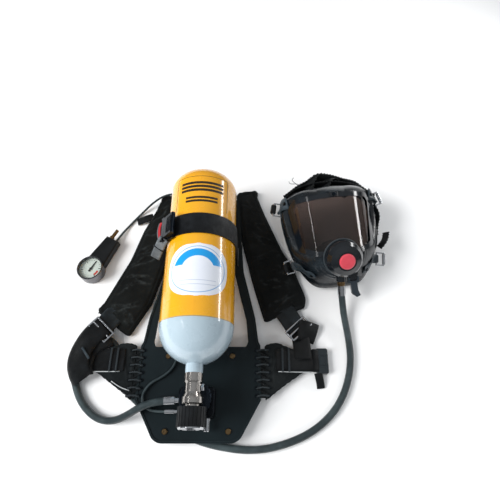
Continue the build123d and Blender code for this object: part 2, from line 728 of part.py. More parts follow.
def disc(bottom, thickness, radius, hole=0):
    """A flat disc on the gauge's axis."""
    with BuildPart(mode=Mode.PRIVATE) as plate:
        with BuildSketch(gauge_plane.offset(bottom)):
            Circle(radius)
            if hole:
                Circle(hole, mode=Mode.SUBTRACT)
        extrude(amount=thickness)
    return plate.part


with BuildPart() as gauge_case:
    with BuildSketch(gauge_plane.offset(1)):
        Circle(GAUGE_RADIUS)
    extrude(amount=GAUGE_HEIGHT)
    fillet(gauge_case.edges().group_by(Axis.Z)[0], 3)
    with BuildSketch(gauge_plane.offset(8)):
        Circle(GAUGE_RADIUS - 3)
    extrude(amount=GAUGE_HEIGHT, mode=Mode.SUBTRACT)
    chamfer(gauge_case.edges().group_by(Axis.Z)[-1], 0.8)

with BuildPart() as gauge_dial:
    add(disc(19, 1.2, GAUGE_RADIUS - 3, 1.6))

with BuildPart() as gauge_needle:
    add(disc(10, 12, 1.5))
    add(disc(21.2, 0.9, 3))
    with BuildSketch(gauge_plane.offset(21.3)):
        Polygon((-2, -7), (2, -7), (0.6, 20), (-0.6, 20), align=None, rotation=0)
    extrude(amount=0.7)

with BuildPart() as gauge_lens:
    add(disc(25, 2.4, GAUGE_RADIUS - 3))

boot_outline = [(-22, 14), (-16, 84), (16, 84), (22, 14)]
with BuildPart() as gauge_boot:
    with BuildSketch(gauge_plane.offset(3)):
        Polygon(*boot_outline, align=None)
    extrude(amount=22)
    fillet(gauge_boot.edges().filter_by(Axis.Z, reverse=True).filter_by(GeomType.LINE), 4)
    with BuildSketch(gauge_plane):
        Circle(GAUGE_RADIUS + 0.02)
    extrude(amount=40, mode=Mode.SUBTRACT)

with BuildPart() as whistle:
    add(rod(at_gauge(-8, 84, 14), at_gauge(-8, 90, 14), 5.5))
    add(rod(at_gauge(-8, 90, 14), at_gauge(-8, 110, 14), 4))
    add(rod(at_gauge(-8, 92, 14), at_gauge(-8, 111, 14), 3), mode=Mode.SUBTRACT)

# ---------------------------------------------------------------- shoulder harness

shoulder_left = [(-66, 420), (-106, 423), (-116, 412), (-151, 327), (-172, 252), (-226, 128), (-172, 90)]
shoulder_left += [(-150, 78), (-112, 146), (-98, 199), (-86, 250), (-78, 300), (-70, 360)]
shoulder_right = [(66, 430), (112, 440), (135, 373), (175, 272), (196, 236), (222, 160), (218, 138)]
shoulder_right += [(130, 107), (104, 199), (92, 250), (80, 300), (70, 360)]

shoulder_pads = {}
for name, outline in (("shoulder_pad_left", shoulder_left), ("shoulder_pad_right", shoulder_right)):
    with BuildPart() as shoulder_pad:
        with BuildSketch() as pad_outline:
            Polygon(*outline, align=None)
        extrude(amount=SHOULDER_PAD_THICKNESS)
    shoulder_pads[name] = shoulder_pad

left_upper = band((-188, 124, 9), (-200, 100, 20.5), WEBBING_WIDTH, WEBBING_THICKNESS)
left_lower = band((-199, 102, 20.3), (-224, 62, 22.2), WEBBING_WIDTH, WEBBING_THICKNESS)
left_end = band((-223, 64, 22), (-246, 16, 26.6), WEBBING_WIDTH, WEBBING_THICKNESS)
with BuildPart() as shoulder_strap_left:
    add(left_upper)
    add(left_lower)
    add(left_end)

right_upper = band((176, 126, 5), (204, 86, 8), WEBBING_WIDTH, WEBBING_THICKNESS)
right_lower = band((203, 90, 7.6), (205, 54, 17.4), WEBBING_WIDTH - 8, WEBBING_THICKNESS)
right_end = band((205, 57, 17.2), (206, 28, 17.2), WEBBING_WIDTH - 8, WEBBING_THICKNESS)
with BuildPart() as shoulder_strap_right:
    add(right_upper)
    add(right_lower)
    add(right_end)

# wire slide buckles that lie on the webbing and flip up on their upper wire
SLIDE_WIRE = 2.2
slide_left = Plane(origin=(-199, 95, 27.2), x_dir=(0.74, -0.67, 0), z_dir=(0, 0, 1))
slide_right = Plane(origin=(193, 100, 14.5), x_dir=(0.75, 0.66, 0), z_dir=(-0.132, 0.15, 1))
slide_buckles = {}
for name, place in (("slide_buckle_left", slide_left), ("slide_buckle_right", slide_right)):
    with BuildPart() as slide_buckle:
        add(wire_loop(place, 50, -24, SLIDE_WIRE, 0))
        middle = [place.from_local_coords(Vector(x, -12, 0)) for x in (-25, 25)]
        add(rod(*middle, SLIDE_WIRE))
    slide_buckles[name] = slide_buckle

# ---------------------------------------------------------------- waist belt

droop = radians(WING_DROOP)
left_wing = Plane(origin=(-127, 0, WAIST_PAD_UNDERSIDE), x_dir=(-1, 0, 0), z_dir=(0, 0, 1))
drooping = (cos(droop), 0, -sin(droop))
right_wing = Plane(origin=(127, 0, WAIST_PAD_UNDERSIDE), x_dir=drooping, z_dir=(sin(droop), 0, cos(droop)))
waist_outline = [(0, 56), (26, 64), (63, 51), (97, 49), (97, 4), (78, 0), (0, -53)]
waist_pads = {}
waist_straps = {}
for side, wing, turn in (("left", left_wing, -1), ("right", right_wing, 1)):
    with BuildPart() as waist_pad:
        with BuildSketch(wing):
            Polygon(*[(x, turn * y) for x, y in waist_outline], align=None)
        extrude(amount=WAIST_PAD_THICKNESS)
    waist_pads[f"waist_pad_{side}"] = waist_pad
    with BuildPart() as waist_strap:
        with BuildSketch(wing.offset(WAIST_PAD_THICKNESS)):
            with Locations((24, turn * 26)):
                Rectangle(71 if side == "left" else 81, WEBBING_WIDTH, align=(Align.MIN, Align.CENTER))
        extrude(amount=WEBBING_THICKNESS)
        with BuildSketch(wing.offset(WAIST_PAD_THICKNESS + WEBBING_THICKNESS)):
            with Locations((38, turn * 26), (51, turn * 26)):
                SlotOverall(WEBBING_WIDTH - 6, 5, rotation=90)
        extrude(amount=2)
    waist_straps[f"waist_strap_{side}"] = waist_strap

with BuildPart() as waist_buckle_socket:
    with BuildSketch(Plane.XY.offset(1)):
        with Locations((246, 26)):
            RectangleRounded(24, 50, 4)
    extrude(amount=13)
    fillet(waist_buckle_socket.faces().sort_by(Axis.Z)[-1].edges(), 2)
    with BuildSketch(Plane.XY.offset(3.4)):
        with Locations((249, 26)):
            Rectangle(21, 36)
    extrude(amount=6.6, mode=Mode.SUBTRACT)
    with BuildSketch(Plane.XY.offset(10)):
        with Locations((246, 26)):
            Rectangle(12.6, 20.6)
    extrude(amount=6, mode=Mode.SUBTRACT)

with BuildPart() as waist_buckle_button:
    with BuildSketch(Plane.XY.offset(8.4)):
        with Locations((246, 26)):
            Rectangle(12, 20)
    extrude(amount=6.6)
    fillet(waist_buckle_button.faces().sort_by(Axis.Z)[-1].edges(), 1.2)

with BuildPart() as waist_buckle_tongue:
    with BuildSketch(Plane.XY.offset(15.2)):
        with Locations((-233, 26)):
            RectangleRounded(14, 46, 3)
        with Locations((-243, 26)):
            Rectangle(12, 28)
        with Locations((-230, 26)):
            Rectangle(3, 36, mode=Mode.SUBTRACT)
    extrude(amount=4.5)

pieces = {
    "backplate": backplate,
    "plate_screws": plate_screws,
    "lumbar_pad": lumbar_pad,
    "back_pad": back_pad,
    "wing_lacing": wing_lacing,
    "cylinder_shell": cylinder_shell,
    "cylinder_strap": cylinder_strap,
    "strap_buckle_frame": strap_buckle_frame,
    "strap_buckle_pin": strap_buckle_pin,
    "strap_buckle_lever": strap_buckle_lever,
    "valve_body": valve_body,
    "burst_disc_plug": burst_disc_plug,
    "valve_plug": valve_plug,
    "handwheel_grip": handwheel_grip,
    "handwheel_hub": handwheel_hub,
    "hand_nut": hand_nut,
    "reducer_body": reducer_body,
    "reducer_cap": reducer_cap,
    "reducer_piston": reducer_piston,
    "reducer_spring": reducer_spring,
    "relief_valve": relief_valve,
    "hose_ferrules": hose_ferrules,
    "medium_pressure_hose": medium_pressure_hose,
    "gauge_hose": gauge_hose,
    "gauge_case": gauge_case,
    "gauge_boot": gauge_boot,
    "gauge_dial": gauge_dial,
    "gauge_needle": gauge_needle,
    "gauge_lens": gauge_lens,
    "whistle": whistle,
    "waist_buckle_socket": waist_buckle_socket,
    "waist_buckle_button": waist_buckle_button,
    "waist_buckle_tongue": waist_buckle_tongue,
    "shoulder_strap_left": shoulder_strap_left,
    "shoulder_strap_right": shoulder_strap_right,
    "mask_facepiece": mask_facepiece,
    "mask_visor": mask_visor,
    "visor_frame": visor_frame,
    "oronasal_cup": oronasal_cup,
    "exhalation_disc": exhalation_disc,
    "head_harness": head_harness,
    "mask_buckle_clips": mask_buckle_clips,
    "demand_valve_housing": demand_valve_housing,
    "demand_valve_cover": demand_valve_cover,
    "demand_valve_button": demand_valve_button,
    "demand_valve_lever": demand_valve_lever,
    "demand_valve_diaphragm": demand_valve_diaphragm,
    "inlet_swivel": inlet_swivel,
    **shoulder_pads,
    **slide_buckles,
    **waist_pads,
    **waist_straps,
    **loops,
}
for name, piece in pieces.items():
    piece.part.label = name
    export_step(piece.part, f"parts/{name}.step")
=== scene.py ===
from math import atan2, cos, hypot, pi, radians, sin, sqrt

import bmesh
import bpy
import numpy as np
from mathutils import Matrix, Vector, noise


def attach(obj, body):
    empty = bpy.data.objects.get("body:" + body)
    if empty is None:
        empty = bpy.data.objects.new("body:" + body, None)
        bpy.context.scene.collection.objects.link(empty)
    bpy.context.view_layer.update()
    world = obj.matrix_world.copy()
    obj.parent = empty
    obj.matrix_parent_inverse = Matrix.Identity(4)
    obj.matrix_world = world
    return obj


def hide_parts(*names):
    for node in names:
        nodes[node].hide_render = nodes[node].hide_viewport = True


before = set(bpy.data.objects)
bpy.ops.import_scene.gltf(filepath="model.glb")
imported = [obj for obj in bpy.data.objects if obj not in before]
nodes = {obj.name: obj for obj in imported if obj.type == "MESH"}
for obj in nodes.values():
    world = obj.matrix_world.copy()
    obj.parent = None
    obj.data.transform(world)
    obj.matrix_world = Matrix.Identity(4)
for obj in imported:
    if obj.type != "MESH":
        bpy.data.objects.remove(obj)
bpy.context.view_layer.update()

# Breathing apparatus laid out flat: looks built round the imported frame. Metres, +Z up, +Y along the cylinder.


def mm(value):
    """Millimetres to metres, for a number or for nested points."""
    if isinstance(value, (list, tuple)):
        return type(value)(mm(part) for part in value)
    return value / 1000


CARRIER = "carrier"

# Camera, at the same place relative to the set as the reference view
CAMERA_PLACE = (0.0998, -0.1402, 0.8594)
CAMERA_PITCH = 27.0
CAMERA_LENS = 29.52
SENSOR_WIDTH = 36.0

# Cylinder
AXIS_Z = 0.104
CYLINDER_RADIUS = 0.070
SHOULDER_Y = 0.070

# Face mask plane: y towards the forehead, z out through the visor
MASK_ORIGIN = Vector((0.281, 0.288, 0.046))
MASK_TILT = radians(20.0)
MASK_TURN = radians(7.5)
VISOR_RADIUS = 0.105
VISOR_AXIS_DEPTH = -0.038
PORT_Y = -0.045
PORT_HEIGHT = 0.060
PORT_TILT = radians(21.0)

# Gauge
GAUGE_CENTRE = Vector((-0.255, 0.225, 0.0))
GAUGE_HEADING = Vector((35, 68, 0)).normalized()

TOOTH_PITCH = 0.0065

# Padding: frames of cloth simulation, the depth of a full crease, and the lowest that a cover may reach
SIMULATED_FRAMES = 20
DEEP_CREASE = 0.0018
LOWEST = 0.0005

MEDIUM_HOSE_DIAMETER = 0.014
GAUGE_HOSE_DIAMETER = 0.005
MEDIUM_HOSE_ROUTE = mm([
    (-62, -53, 39), (-84, -56, 41.5), (-107, -65, 40), (-131, -77, 27), (-157, -86, 12), (-186, -85, 7.3),
    (-212, -70, 7.3), (-234, -46, 7.3), (-249, -15, 7.3), (-260, 14, 7.3), (-261, 40, 7.3), (-248, 63, 7.3),
    (-227, 75, 7.3), (-202, 75, 7.3), (-180, 62, 7.3), (-168, 40, 7.3), (-165, 14, 7.3), (-156, -12, 7.3),
    (-139, -35, 7.3), (-117, -54, 7.3), (-92, -73, 7.3), (-62, -92, 7.3), (-28, -109, 7.3), (9, -122, 7.3),
    (48, -131, 7.3), (90, -136, 7.3), (132, -134, 7.3), (172, -124, 7.3), (208, -110, 7.3), (240, -90, 7.3),
    (267, -64, 7.3), (287, -33, 7.3), (300, 2, 7.3), (306, 38, 7.3), (305, 74, 8), (301, 104, 12),
    (297, 131, 21), (294, 158.5, 36.4),
])
GAUGE_HOSE_ROUTE = mm([
    (-60, -71, 32), (-78, -71, 29.5), (-96, -66, 27.3), (-107, -52, 26.9), (-105, -34, 26.9),
    (-92, -18, 26.9), (-72, -8, 26.9), (-54, 6, 26.9), (-45, 28, 26.9), (-44, 54, 26.9), (-49, 84, 26.9),
    (-50, 112, 24), (-46, 140, 19), (-45, 168, 17.5), (-46, 196, 22), (-48, 222, 26.9), (-49, 252, 26.9),
    (-50, 284, 26.9), (-50, 316, 26.9), (-52, 348, 26.9), (-56, 378, 26.9), (-62, 402, 26.9),
    (-74, 419, 26), (-94, 423, 22.5), (-116, 416, 20), (-138, 402, 13), (-158, 384, 5), (-177, 361, 3),
    (-193, 338, 3.5), (-204, 316, 8.5), (-211.1, 296.1, 14),
])


# ---------------------------------------------------------------- planes of the mask and its valve

mask_x = Vector((cos(MASK_TURN), sin(MASK_TURN), 0))
mask_z = Vector((sin(MASK_TILT) * sin(MASK_TURN), -sin(MASK_TILT) * cos(MASK_TURN), cos(MASK_TILT)))
mask_y = mask_z.cross(mask_x)


def in_mask(x, y, height):
    return MASK_ORIGIN + mask_x * x + mask_y * y + mask_z * height


valve_z = mask_z * cos(PORT_TILT) - mask_y * sin(PORT_TILT)
valve_y = valve_z.cross(mask_x)
valve_origin = in_mask(0, PORT_Y, PORT_HEIGHT)


def in_valve(x, y, height):
    return valve_origin + mask_x * x + valve_y * y + valve_z * height


# ---------------------------------------------------------------- materials


def brighter(colour, times):
    return tuple(min(1, c * times) for c in colour)


class Shader:
    """A Principled material with short calls for the nodes that vary it over the surface."""

    def __init__(self, name, colour, roughness, metallic=0.0, **sockets):
        self.material = bpy.data.materials.new(name)
        self.material.use_nodes = True
        self.tree = self.material.node_tree
        self.bsdf = next(n for n in self.tree.nodes if n.type == "BSDF_PRINCIPLED")
        self.bsdf.inputs["Base Color"].default_value = (*colour, 1)
        self.bsdf.inputs["Roughness"].default_value = roughness
        self.bsdf.inputs["Metallic"].default_value = metallic
        for socket, value in sockets.items():
            self.bsdf.inputs[socket.replace("_", " ")].default_value = value
        self.place = self.add("ShaderNodeTexCoord").outputs["Object"]

    def add(self, kind, sockets=(), **settings):
        """A new node. Each socket takes a value or the output of another node."""
        node = self.tree.nodes.new(kind)
        for key, value in settings.items():
            setattr(node, key, value)
        for key, source in dict(sockets).items():
            if hasattr(source, "is_output"):
                self.tree.links.new(source, node.inputs[key])
            else:
                node.inputs[key].default_value = source
        return node

    def noise(self, scale, detail=3.0, roughness=0.5, stretch=None):
        place = self.place
        if stretch:
            place = self.add("ShaderNodeMapping", {"Scale": stretch, "Vector": place}).outputs["Vector"]
        sockets = {"Scale": scale, "Detail": detail, "Roughness": roughness, "Vector": place}
        return self.add("ShaderNodeTexNoise", sockets).outputs["Fac"]

    def wave(self, scale, direction, place):
        sockets = {"Scale": scale, "Vector": place}
        return self.add("ShaderNodeTexWave", sockets, bands_direction=direction).outputs["Fac"]

    def math(self, operation, first, second=0.0):
        return self.add("ShaderNodeMath", {0: first, 1: second}, operation=operation).outputs[0]

    def times(self, first, second):
        return self.math("MULTIPLY", first, second)

    def between(self, source, low, high):
        return self.times(self.math("GREATER_THAN", source, low), self.math("LESS_THAN", source, high))

    def ramp(self, source, low, high, out_low=0.0, out_high=1.0):
        sockets = {"Value": source, "From Min": low, "From Max": high, "To Min": out_low, "To Max": out_high}
        return self.add("ShaderNodeMapRange", sockets, interpolation_type="SMOOTHSTEP").outputs["Result"]

    def mix(self, factor, first, second):
        first, second = (c if hasattr(c, "is_output") else (*c, 1) for c in (first, second))
        return self.add("ShaderNodeMix", {0: factor, 6: first, 7: second}, data_type="RGBA").outputs[2]

    def axis(self, name, source=None):
        return self.add("ShaderNodeSeparateXYZ", {0: source or self.place}).outputs[name]

    def uv(self):
        return self.add("ShaderNodeUVMap").outputs["UV"]

    def worn_edges(self, base, share, worn):
        """The worn colour along edges, where rounding them by a small radius would turn the surface."""
        rounded = self.add("ShaderNodeBevel", {"Radius": 0.0012}, samples=4).outputs["Normal"]
        as_modelled = self.add("ShaderNodeNewGeometry").outputs["Normal"]
        turn = self.add("ShaderNodeVectorMath", {0: rounded, 1: as_modelled}, operation="DOT_PRODUCT")
        edges = self.ramp(self.math("SUBTRACT", 1.0, turn.outputs["Value"]), 0.01, 0.20)
        return self.mix(self.times(edges, share), base, worn)

    def done(self, colour=None, roughness=None, bumps=()):
        """Links colour, roughness and bumps, each (height, strength, distance), and gives the material."""
        sources = {"Base Color": colour, "Roughness": roughness, "Normal": None}
        for height, strength, distance in bumps:
            sockets = {"Height": height, "Strength": strength, "Distance": distance}
            if sources["Normal"] is not None:
                sockets["Normal"] = sources["Normal"]
            sources["Normal"] = self.add("ShaderNodeBump", sockets).outputs["Normal"]
        for socket, source in sources.items():
            if source is not None:
                self.tree.links.new(source, self.bsdf.inputs[socket])
        return self.material


def amber_paint():
    """Glossy amber lacquer on the shell, and a pale blue-grey shoulder and neck."""
    s = Shader("amber_paint", (0.80, 0.38, 0.008), 0.24, Coat_Weight=1.0, Coat_Roughness=0.05)
    along = s.axis("Y")
    shell = s.mix(s.noise(9, 2), (0.84, 0.41, 0.008), (0.75, 0.33, 0.005))
    grime = s.ramp(s.noise(60, 5, 0.7), 0.55, 0.8)
    shell = s.mix(s.times(grime, 0.25), shell, (0.45, 0.24, 0.02))
    pale = s.mix(s.noise(14, 3), (0.36, 0.46, 0.53), (0.44, 0.54, 0.60))
    wavering = s.math("ADD", along, s.times(s.noise(120, 2), 0.0012))
    edge = s.ramp(wavering, SHOULDER_Y + 0.0002, SHOULDER_Y + 0.0012)
    line = s.ramp(along, SHOULDER_Y + 0.0012, SHOULDER_Y + 0.0024)
    colour = s.mix(edge, pale, s.mix(line, (0.35, 0.27, 0.12), shell))
    gloss = s.ramp(s.noise(26, 4, 0.6), 0.3, 0.75, 0.2, 0.36)
    return s.done(colour, gloss, [(s.noise(240, 2), 0.05, 0.0006)])


def composite():
    """Moulded dark composite of the backplate, with a fine grain and greyer worn edges."""
    s = Shader("composite", (0.010, 0.014, 0.016), 0.45, Specular_IOR_Level=0.16)
    mottled = s.mix(s.noise(7, 4, 0.6), (0.004, 0.006, 0.007), (0.012, 0.019, 0.022))
    scuffs = s.ramp(s.noise(38, 6, 0.75, stretch=(1, 0.35, 1)), 0.60, 0.78)
    mottled = s.mix(s.times(scuffs, 0.22), mottled, (0.050, 0.066, 0.072))
    gloss = s.ramp(s.noise(22, 5), 0.3, 0.7, 0.34, 0.55)
    return s.done(s.worn_edges(mottled, 0.5, (0.06, 0.08, 0.088)), gloss,
                  [(s.noise(900, 2), 0.18, 0.0004), (s.noise(16, 3), 0.10, 0.004)])


def cloth(name, dark, light, thread=0.0011, sheen=0.25, ridge_highlight=None):
    """Plain woven cloth: crossing threads, mottled colour, a soft sheen, and on a pad a painted highlight along
    its crease ridges.
    """
    s = Shader(name, dark, 0.82, Sheen_Weight=sheen, Sheen_Roughness=0.45, Specular_IOR_Level=0.2)
    s.bsdf.inputs["Sheen Tint"].default_value = (0.55, 0.62, 0.68, 1)
    scale = 0.5 / thread
    weave = s.math("MAXIMUM", s.times(s.wave(scale, "X", s.place), 0.9), s.wave(scale, "Y", s.place))
    worn = s.ramp(s.noise(11, 5, 0.65), 0.42, 0.75)
    threads = s.mix(s.times(weave, 0.35), s.mix(worn, dark, light), brighter(light, 2.1))
    if ridge_highlight:
        # Painted highlight: a lighter colour along the crease ridges and wrinkle tops stored on the pad, broken
        # into patches.
        ridge = s.add("ShaderNodeAttribute", attribute_name="ridge_highlight").outputs["Fac"]
        patchy = s.ramp(s.noise(55, 4, 0.75), 0.42, 0.66)
        threads = s.mix(s.times(s.times(ridge, patchy), 0.75), threads, ridge_highlight)
    gloss = s.ramp(s.noise(45, 3), 0.3, 0.7, 0.72, 0.92)
    return s.done(threads, gloss, [(weave, 0.35, 0.0004), (s.noise(60, 4, 0.6), 0.30, 0.0016)])


def ribbed_webbing(name, dark, light, use_uv=True):
    """Woven webbing: cords along its length, picks across, and a shinier worn middle."""
    s = Shader(name, dark, 0.55, Sheen_Weight=0.08, Sheen_Roughness=0.4, Specular_IOR_Level=0.35)
    place = s.uv() if use_uv else s.place
    weave = s.math("ADD", s.times(s.wave(360, "Y", place), 0.65), s.times(s.wave(520, "X", place), 0.35))
    worn = s.ramp(s.noise(24, 5, 0.7), 0.4, 0.75)
    colour = s.mix(worn, s.mix(weave, brighter(dark, 0.6), dark), light)
    gloss = s.ramp(s.noise(50, 3), 0.3, 0.7, 0.42, 0.66)
    return s.done(colour, gloss, [(weave, 0.4, 0.0004), (s.noise(40, 3), 0.2, 0.002)])


def metal(name, colour, roughness, dirt=(0.20, 0.17, 0.14), amount=0.35):
    """Plated or bare metal with stains, fine scratches and brighter edges."""
    s = Shader(name, colour, roughness, 1.0)
    stains = s.times(s.ramp(s.noise(90, 5, 0.7), 0.50, 0.78), amount)
    scratches = s.noise(160, 5, 0.7, stretch=(1, 0.2, 1))
    return s.done(s.worn_edges(s.mix(stains, colour, dirt), 0.5, brighter(colour, 1.25)),
                  s.ramp(scratches, 0.3, 0.8, roughness * 0.7, roughness * 1.9),
                  [(s.noise(700, 2), 0.08, 0.0003)])


def rubber(name, dark, light, roughness=0.5, grain=0.12, coat=0.0):
    """Moulded rubber: soft sheen, bloom and fine pits."""
    s = Shader(name, dark, roughness, Coat_Weight=coat, Coat_Roughness=0.25, Specular_IOR_Level=0.35)
    bloom = s.ramp(s.noise(18, 5, 0.65), 0.40, 0.78)
    return s.done(s.worn_edges(s.mix(bloom, dark, light), 0.5, brighter(light, 1.8)),
                  s.ramp(s.noise(34, 4), 0.3, 0.75, roughness * 0.75, min(1, roughness * 1.3)),
                  [(s.noise(800, 2), grain, 0.0003)])


def plastic(name, colour, light, roughness=0.4, coat=0.0):
    """Moulded plastic with faint texture and worn edges."""
    s = Shader(name, colour, roughness, Coat_Weight=coat, Coat_Roughness=0.1, Specular_IOR_Level=0.4)
    return s.done(s.worn_edges(s.mix(s.noise(25, 4), colour, light), 0.55, brighter(light, 2.2)),
                  s.ramp(s.noise(80, 4), 0.3, 0.75, roughness * 0.7, min(1, roughness * 1.35)),
                  [(s.noise(1100, 2), 0.10, 0.0002)])


def hose_rubber():
    """Slate-grey hose with a dusty bloom and fine pits."""
    s = Shader("hose_rubber", (0.030, 0.042, 0.046), 0.42, Coat_Weight=0.15, Coat_Roughness=0.3)
    bloom = s.ramp(s.noise(20, 5, 0.65), 0.38, 0.75)
    return s.done(s.mix(bloom, (0.018, 0.027, 0.030), (0.050, 0.068, 0.072)),
                  s.ramp(s.noise(30, 4), 0.3, 0.7, 0.32, 0.52), [(s.noise(500, 3), 0.15, 0.0003)])


def visor_sheet():
    """Clear visor with wipe marks, faintly brown, its tint darkened as painted shade for the inside of the mask
    seen through it.
    """
    s = Shader("visor_sheet", (0.095, 0.066, 0.056), 0.02, Transmission_Weight=1.0, IOR=1.49)
    return s.done(roughness=s.ramp(s.noise(30, 5, 0.7, stretch=(1, 0.3, 1)), 0.55, 0.85, 0.02, 0.12))


def glass_cover():
    """Flat gauge glass: mostly see-through, with a faint sheen."""
    s = Shader("gauge_glass", (0.04, 0.05, 0.05), 0.03, Alpha=0.10)
    return s.done(roughness=s.ramp(s.noise(40, 4, 0.6), 0.4, 0.8, 0.02, 0.10))


def red_button():
    s = Shader("red_button", (0.62, 0.06, 0.09), 0.42, Coat_Weight=0.2, Coat_Roughness=0.3)
    return s.done(s.mix(s.noise(70, 4), (0.66, 0.075, 0.105), (0.50, 0.04, 0.06)),
                  s.ramp(s.noise(90, 4), 0.3, 0.7, 0.32, 0.5), [(s.noise(600, 2), 0.08, 0.0002)])


def dial_print():
    """Gauge dial: pale green-white face, tick marks round it and a red low-pressure arc."""
    s = Shader("dial_print", (0.80, 0.86, 0.80), 0.5)
    centre = (GAUGE_CENTRE.x, GAUGE_CENTRE.y, 0)
    moved = s.add("ShaderNodeVectorMath", {0: s.place, 1: centre}, operation="SUBTRACT").outputs[0]
    heading = atan2(GAUGE_HEADING.x, GAUGE_HEADING.y)
    turning = {"Vector": moved, "Angle": heading}
    turned = s.add("ShaderNodeVectorRotate", turning, rotation_type="Z_AXIS").outputs[0]
    across, along = s.axis("X", turned), s.axis("Y", turned)
    reach = s.math("SQRT", s.math("ADD", s.times(across, across), s.times(along, along)))
    angle = s.math("ARCTAN2", across, along)

    def ticks(count, inner, thin):
        teeth = s.math("GREATER_THAN", s.math("COSINE", s.times(angle, count)), thin)
        return s.times(teeth, s.between(reach, inner, 0.0222))

    sweep = s.math("LESS_THAN", s.math("ABSOLUTE", angle), 2.5)
    ink = s.times(s.math("MAXIMUM", ticks(24, 0.0195, 0.90), ticks(6, 0.0165, 0.965)), sweep)
    face = s.mix(s.noise(60, 3), (0.80, 0.87, 0.80), (0.70, 0.78, 0.70))
    low_pressure = s.times(s.between(angle, 1.35, 2.1), s.between(reach, 0.0140, 0.0185))
    face = s.mix(low_pressure, face, (0.62, 0.05, 0.03))
    return s.done(s.mix(ink, face, (0.03, 0.035, 0.035)))


def label_print():
    """Plain white label: a blue header that follows its round top, thin rules and a fine outline."""
    s = Shader("label_print", (0.85, 0.87, 0.90), 0.3, Coat_Weight=0.5, Coat_Roughness=0.1)
    across, along = s.axis("X", s.uv()), s.axis("Y", s.uv())
    wide = s.math("DIVIDE", across, 0.0490)
    tall = s.math("DIVIDE", along, 0.0415)
    round_off = s.math("ADD", s.times(wide, wide), s.times(tall, tall))
    header = s.times(s.between(along, 0.0090, 0.05), s.between(round_off, 0.40, 0.96))
    rules = s.math("GREATER_THAN", s.math("SINE", s.times(along, 780)), 0.88)
    rules = s.times(rules, s.between(along, -0.036, -0.016))
    rules = s.times(rules, s.math("LESS_THAN", s.math("ABSOLUTE", across), 0.036))
    paper = s.mix(s.noise(40, 3), (0.80, 0.83, 0.88), (0.70, 0.74, 0.83))
    paper = s.mix(s.times(rules, 0.45), paper, (0.20, 0.28, 0.45))
    paper = s.mix(s.between(round_off, 1.16, 1.25), paper, (0.25, 0.42, 0.66))
    return s.done(s.mix(header, paper, (0.006, 0.30, 0.70)))


def plain(name, colour, roughness):
    s = Shader(name, colour, roughness)
    return s.done(s.mix(s.noise(40, 3), colour, brighter(colour, 0.75)))


MATERIALS = {
    "amber": amber_paint(),
    "composite": composite(),
    # The last colour of each padded cloth is a painted highlight for its crease ridges.
    "pad": cloth("pad_cloth", (0.0016, 0.0019, 0.0019), (0.0075, 0.0086, 0.0084), 0.0011, 0.11,
                 (0.040, 0.046, 0.047)),
    "belt_pad": cloth("belt_cloth", (0.0035, 0.0045, 0.005), (0.011, 0.013, 0.0135), 0.0014, 0.06,
                      (0.03, 0.034, 0.036)),
    "webbing": ribbed_webbing("webbing", (0.008, 0.011, 0.013), (0.022, 0.031, 0.037)),
    "belt_webbing": ribbed_webbing("belt_webbing", (0.0025, 0.0030, 0.0034), (0.008, 0.0095, 0.011)),
    "strap": ribbed_webbing("strap_webbing", (0.003, 0.0035, 0.0045), (0.010, 0.012, 0.014), use_uv=False),
    "tail": ribbed_webbing("tail_webbing", (0.10, 0.115, 0.125), (0.20, 0.22, 0.235)),
    "lacing": cloth("lacing_cord", (0.012, 0.015, 0.017), (0.032, 0.038, 0.041), 0.0008),
    "piping": cloth("piping", (0.32, 0.35, 0.36), (0.50, 0.53, 0.54), 0.0008),
    "chrome": metal("chrome", (0.58, 0.59, 0.61), 0.12, (0.10, 0.09, 0.08), 0.45),
    "satin": metal("satin_chrome", (0.50, 0.47, 0.44), 0.20, (0.16, 0.09, 0.06), 0.6),
    "dark_metal": metal("dark_metal", (0.020, 0.026, 0.034), 0.34, (0.008, 0.008, 0.008)),
    "brass": metal("brass", (0.24, 0.155, 0.075), 0.32, (0.06, 0.04, 0.025), 0.55),
    "reducer": metal("reducer_metal", (0.020, 0.023, 0.027), 0.38, (0.008, 0.008, 0.008)),
    "steel": metal("spring_steel", (0.5, 0.5, 0.5), 0.3),
    "gauge_metal": metal("gauge_metal", (0.16, 0.16, 0.17), 0.22, (0.05, 0.05, 0.05), 0.5),
    "hose": hose_rubber(),
    "grip": rubber("grip_rubber", (0.004, 0.0045, 0.005), (0.014, 0.016, 0.018), 0.42),
    "boot": rubber("boot_rubber", (0.004, 0.0045, 0.005), (0.011, 0.012, 0.013), 0.5),
    "mask": rubber("mask_rubber", (0.0025, 0.004, 0.0055), (0.013, 0.020, 0.026), 0.25, 0.08, 0.45),
    "lug": rubber("lug_rubber", (0.016, 0.024, 0.030), (0.050, 0.070, 0.084), 0.34, 0.08, 0.2),
    "harness": rubber("harness_rubber", (0.0025, 0.003, 0.0032), (0.009, 0.010, 0.011), 0.42),
    "silicone": rubber("cup_silicone", (0.008, 0.006, 0.005), (0.026, 0.017, 0.013), 0.35),
    "frame": plastic("frame_plastic", (0.002, 0.003, 0.004), (0.006, 0.009, 0.013), 0.15, 0.5),
    "valve": plastic("valve_plastic", (0.002, 0.003, 0.004), (0.007, 0.009, 0.012), 0.18, 0.5),
    "lever": plastic("lever_plastic", (0.012, 0.017, 0.022), (0.030, 0.040, 0.050), 0.35),
    "grey_plastic": plastic("grey_plastic", (0.020, 0.026, 0.030), (0.050, 0.060, 0.068), 0.4),
    "buckle": plastic("buckle_plastic", (0.008, 0.011, 0.013), (0.024, 0.031, 0.036), 0.4),
    "button": red_button(),
    "dial": dial_print(),
    "needle": plain("needle_paint", (0.02, 0.02, 0.02), 0.4),
    "lens": glass_cover(),
    "visor": visor_sheet(),
    "label": label_print(),
    "ink": plain("label_ink", (0.03, 0.02, 0.01), 0.5),
    "red_thread": plain("red_thread", (0.40, 0.022, 0.03), 0.7),
}


# ---------------------------------------------------------------- mesh helpers


def new_object(name, data):
    made = bpy.data.objects.new(name, data)
    bpy.context.scene.collection.objects.link(made)
    return made


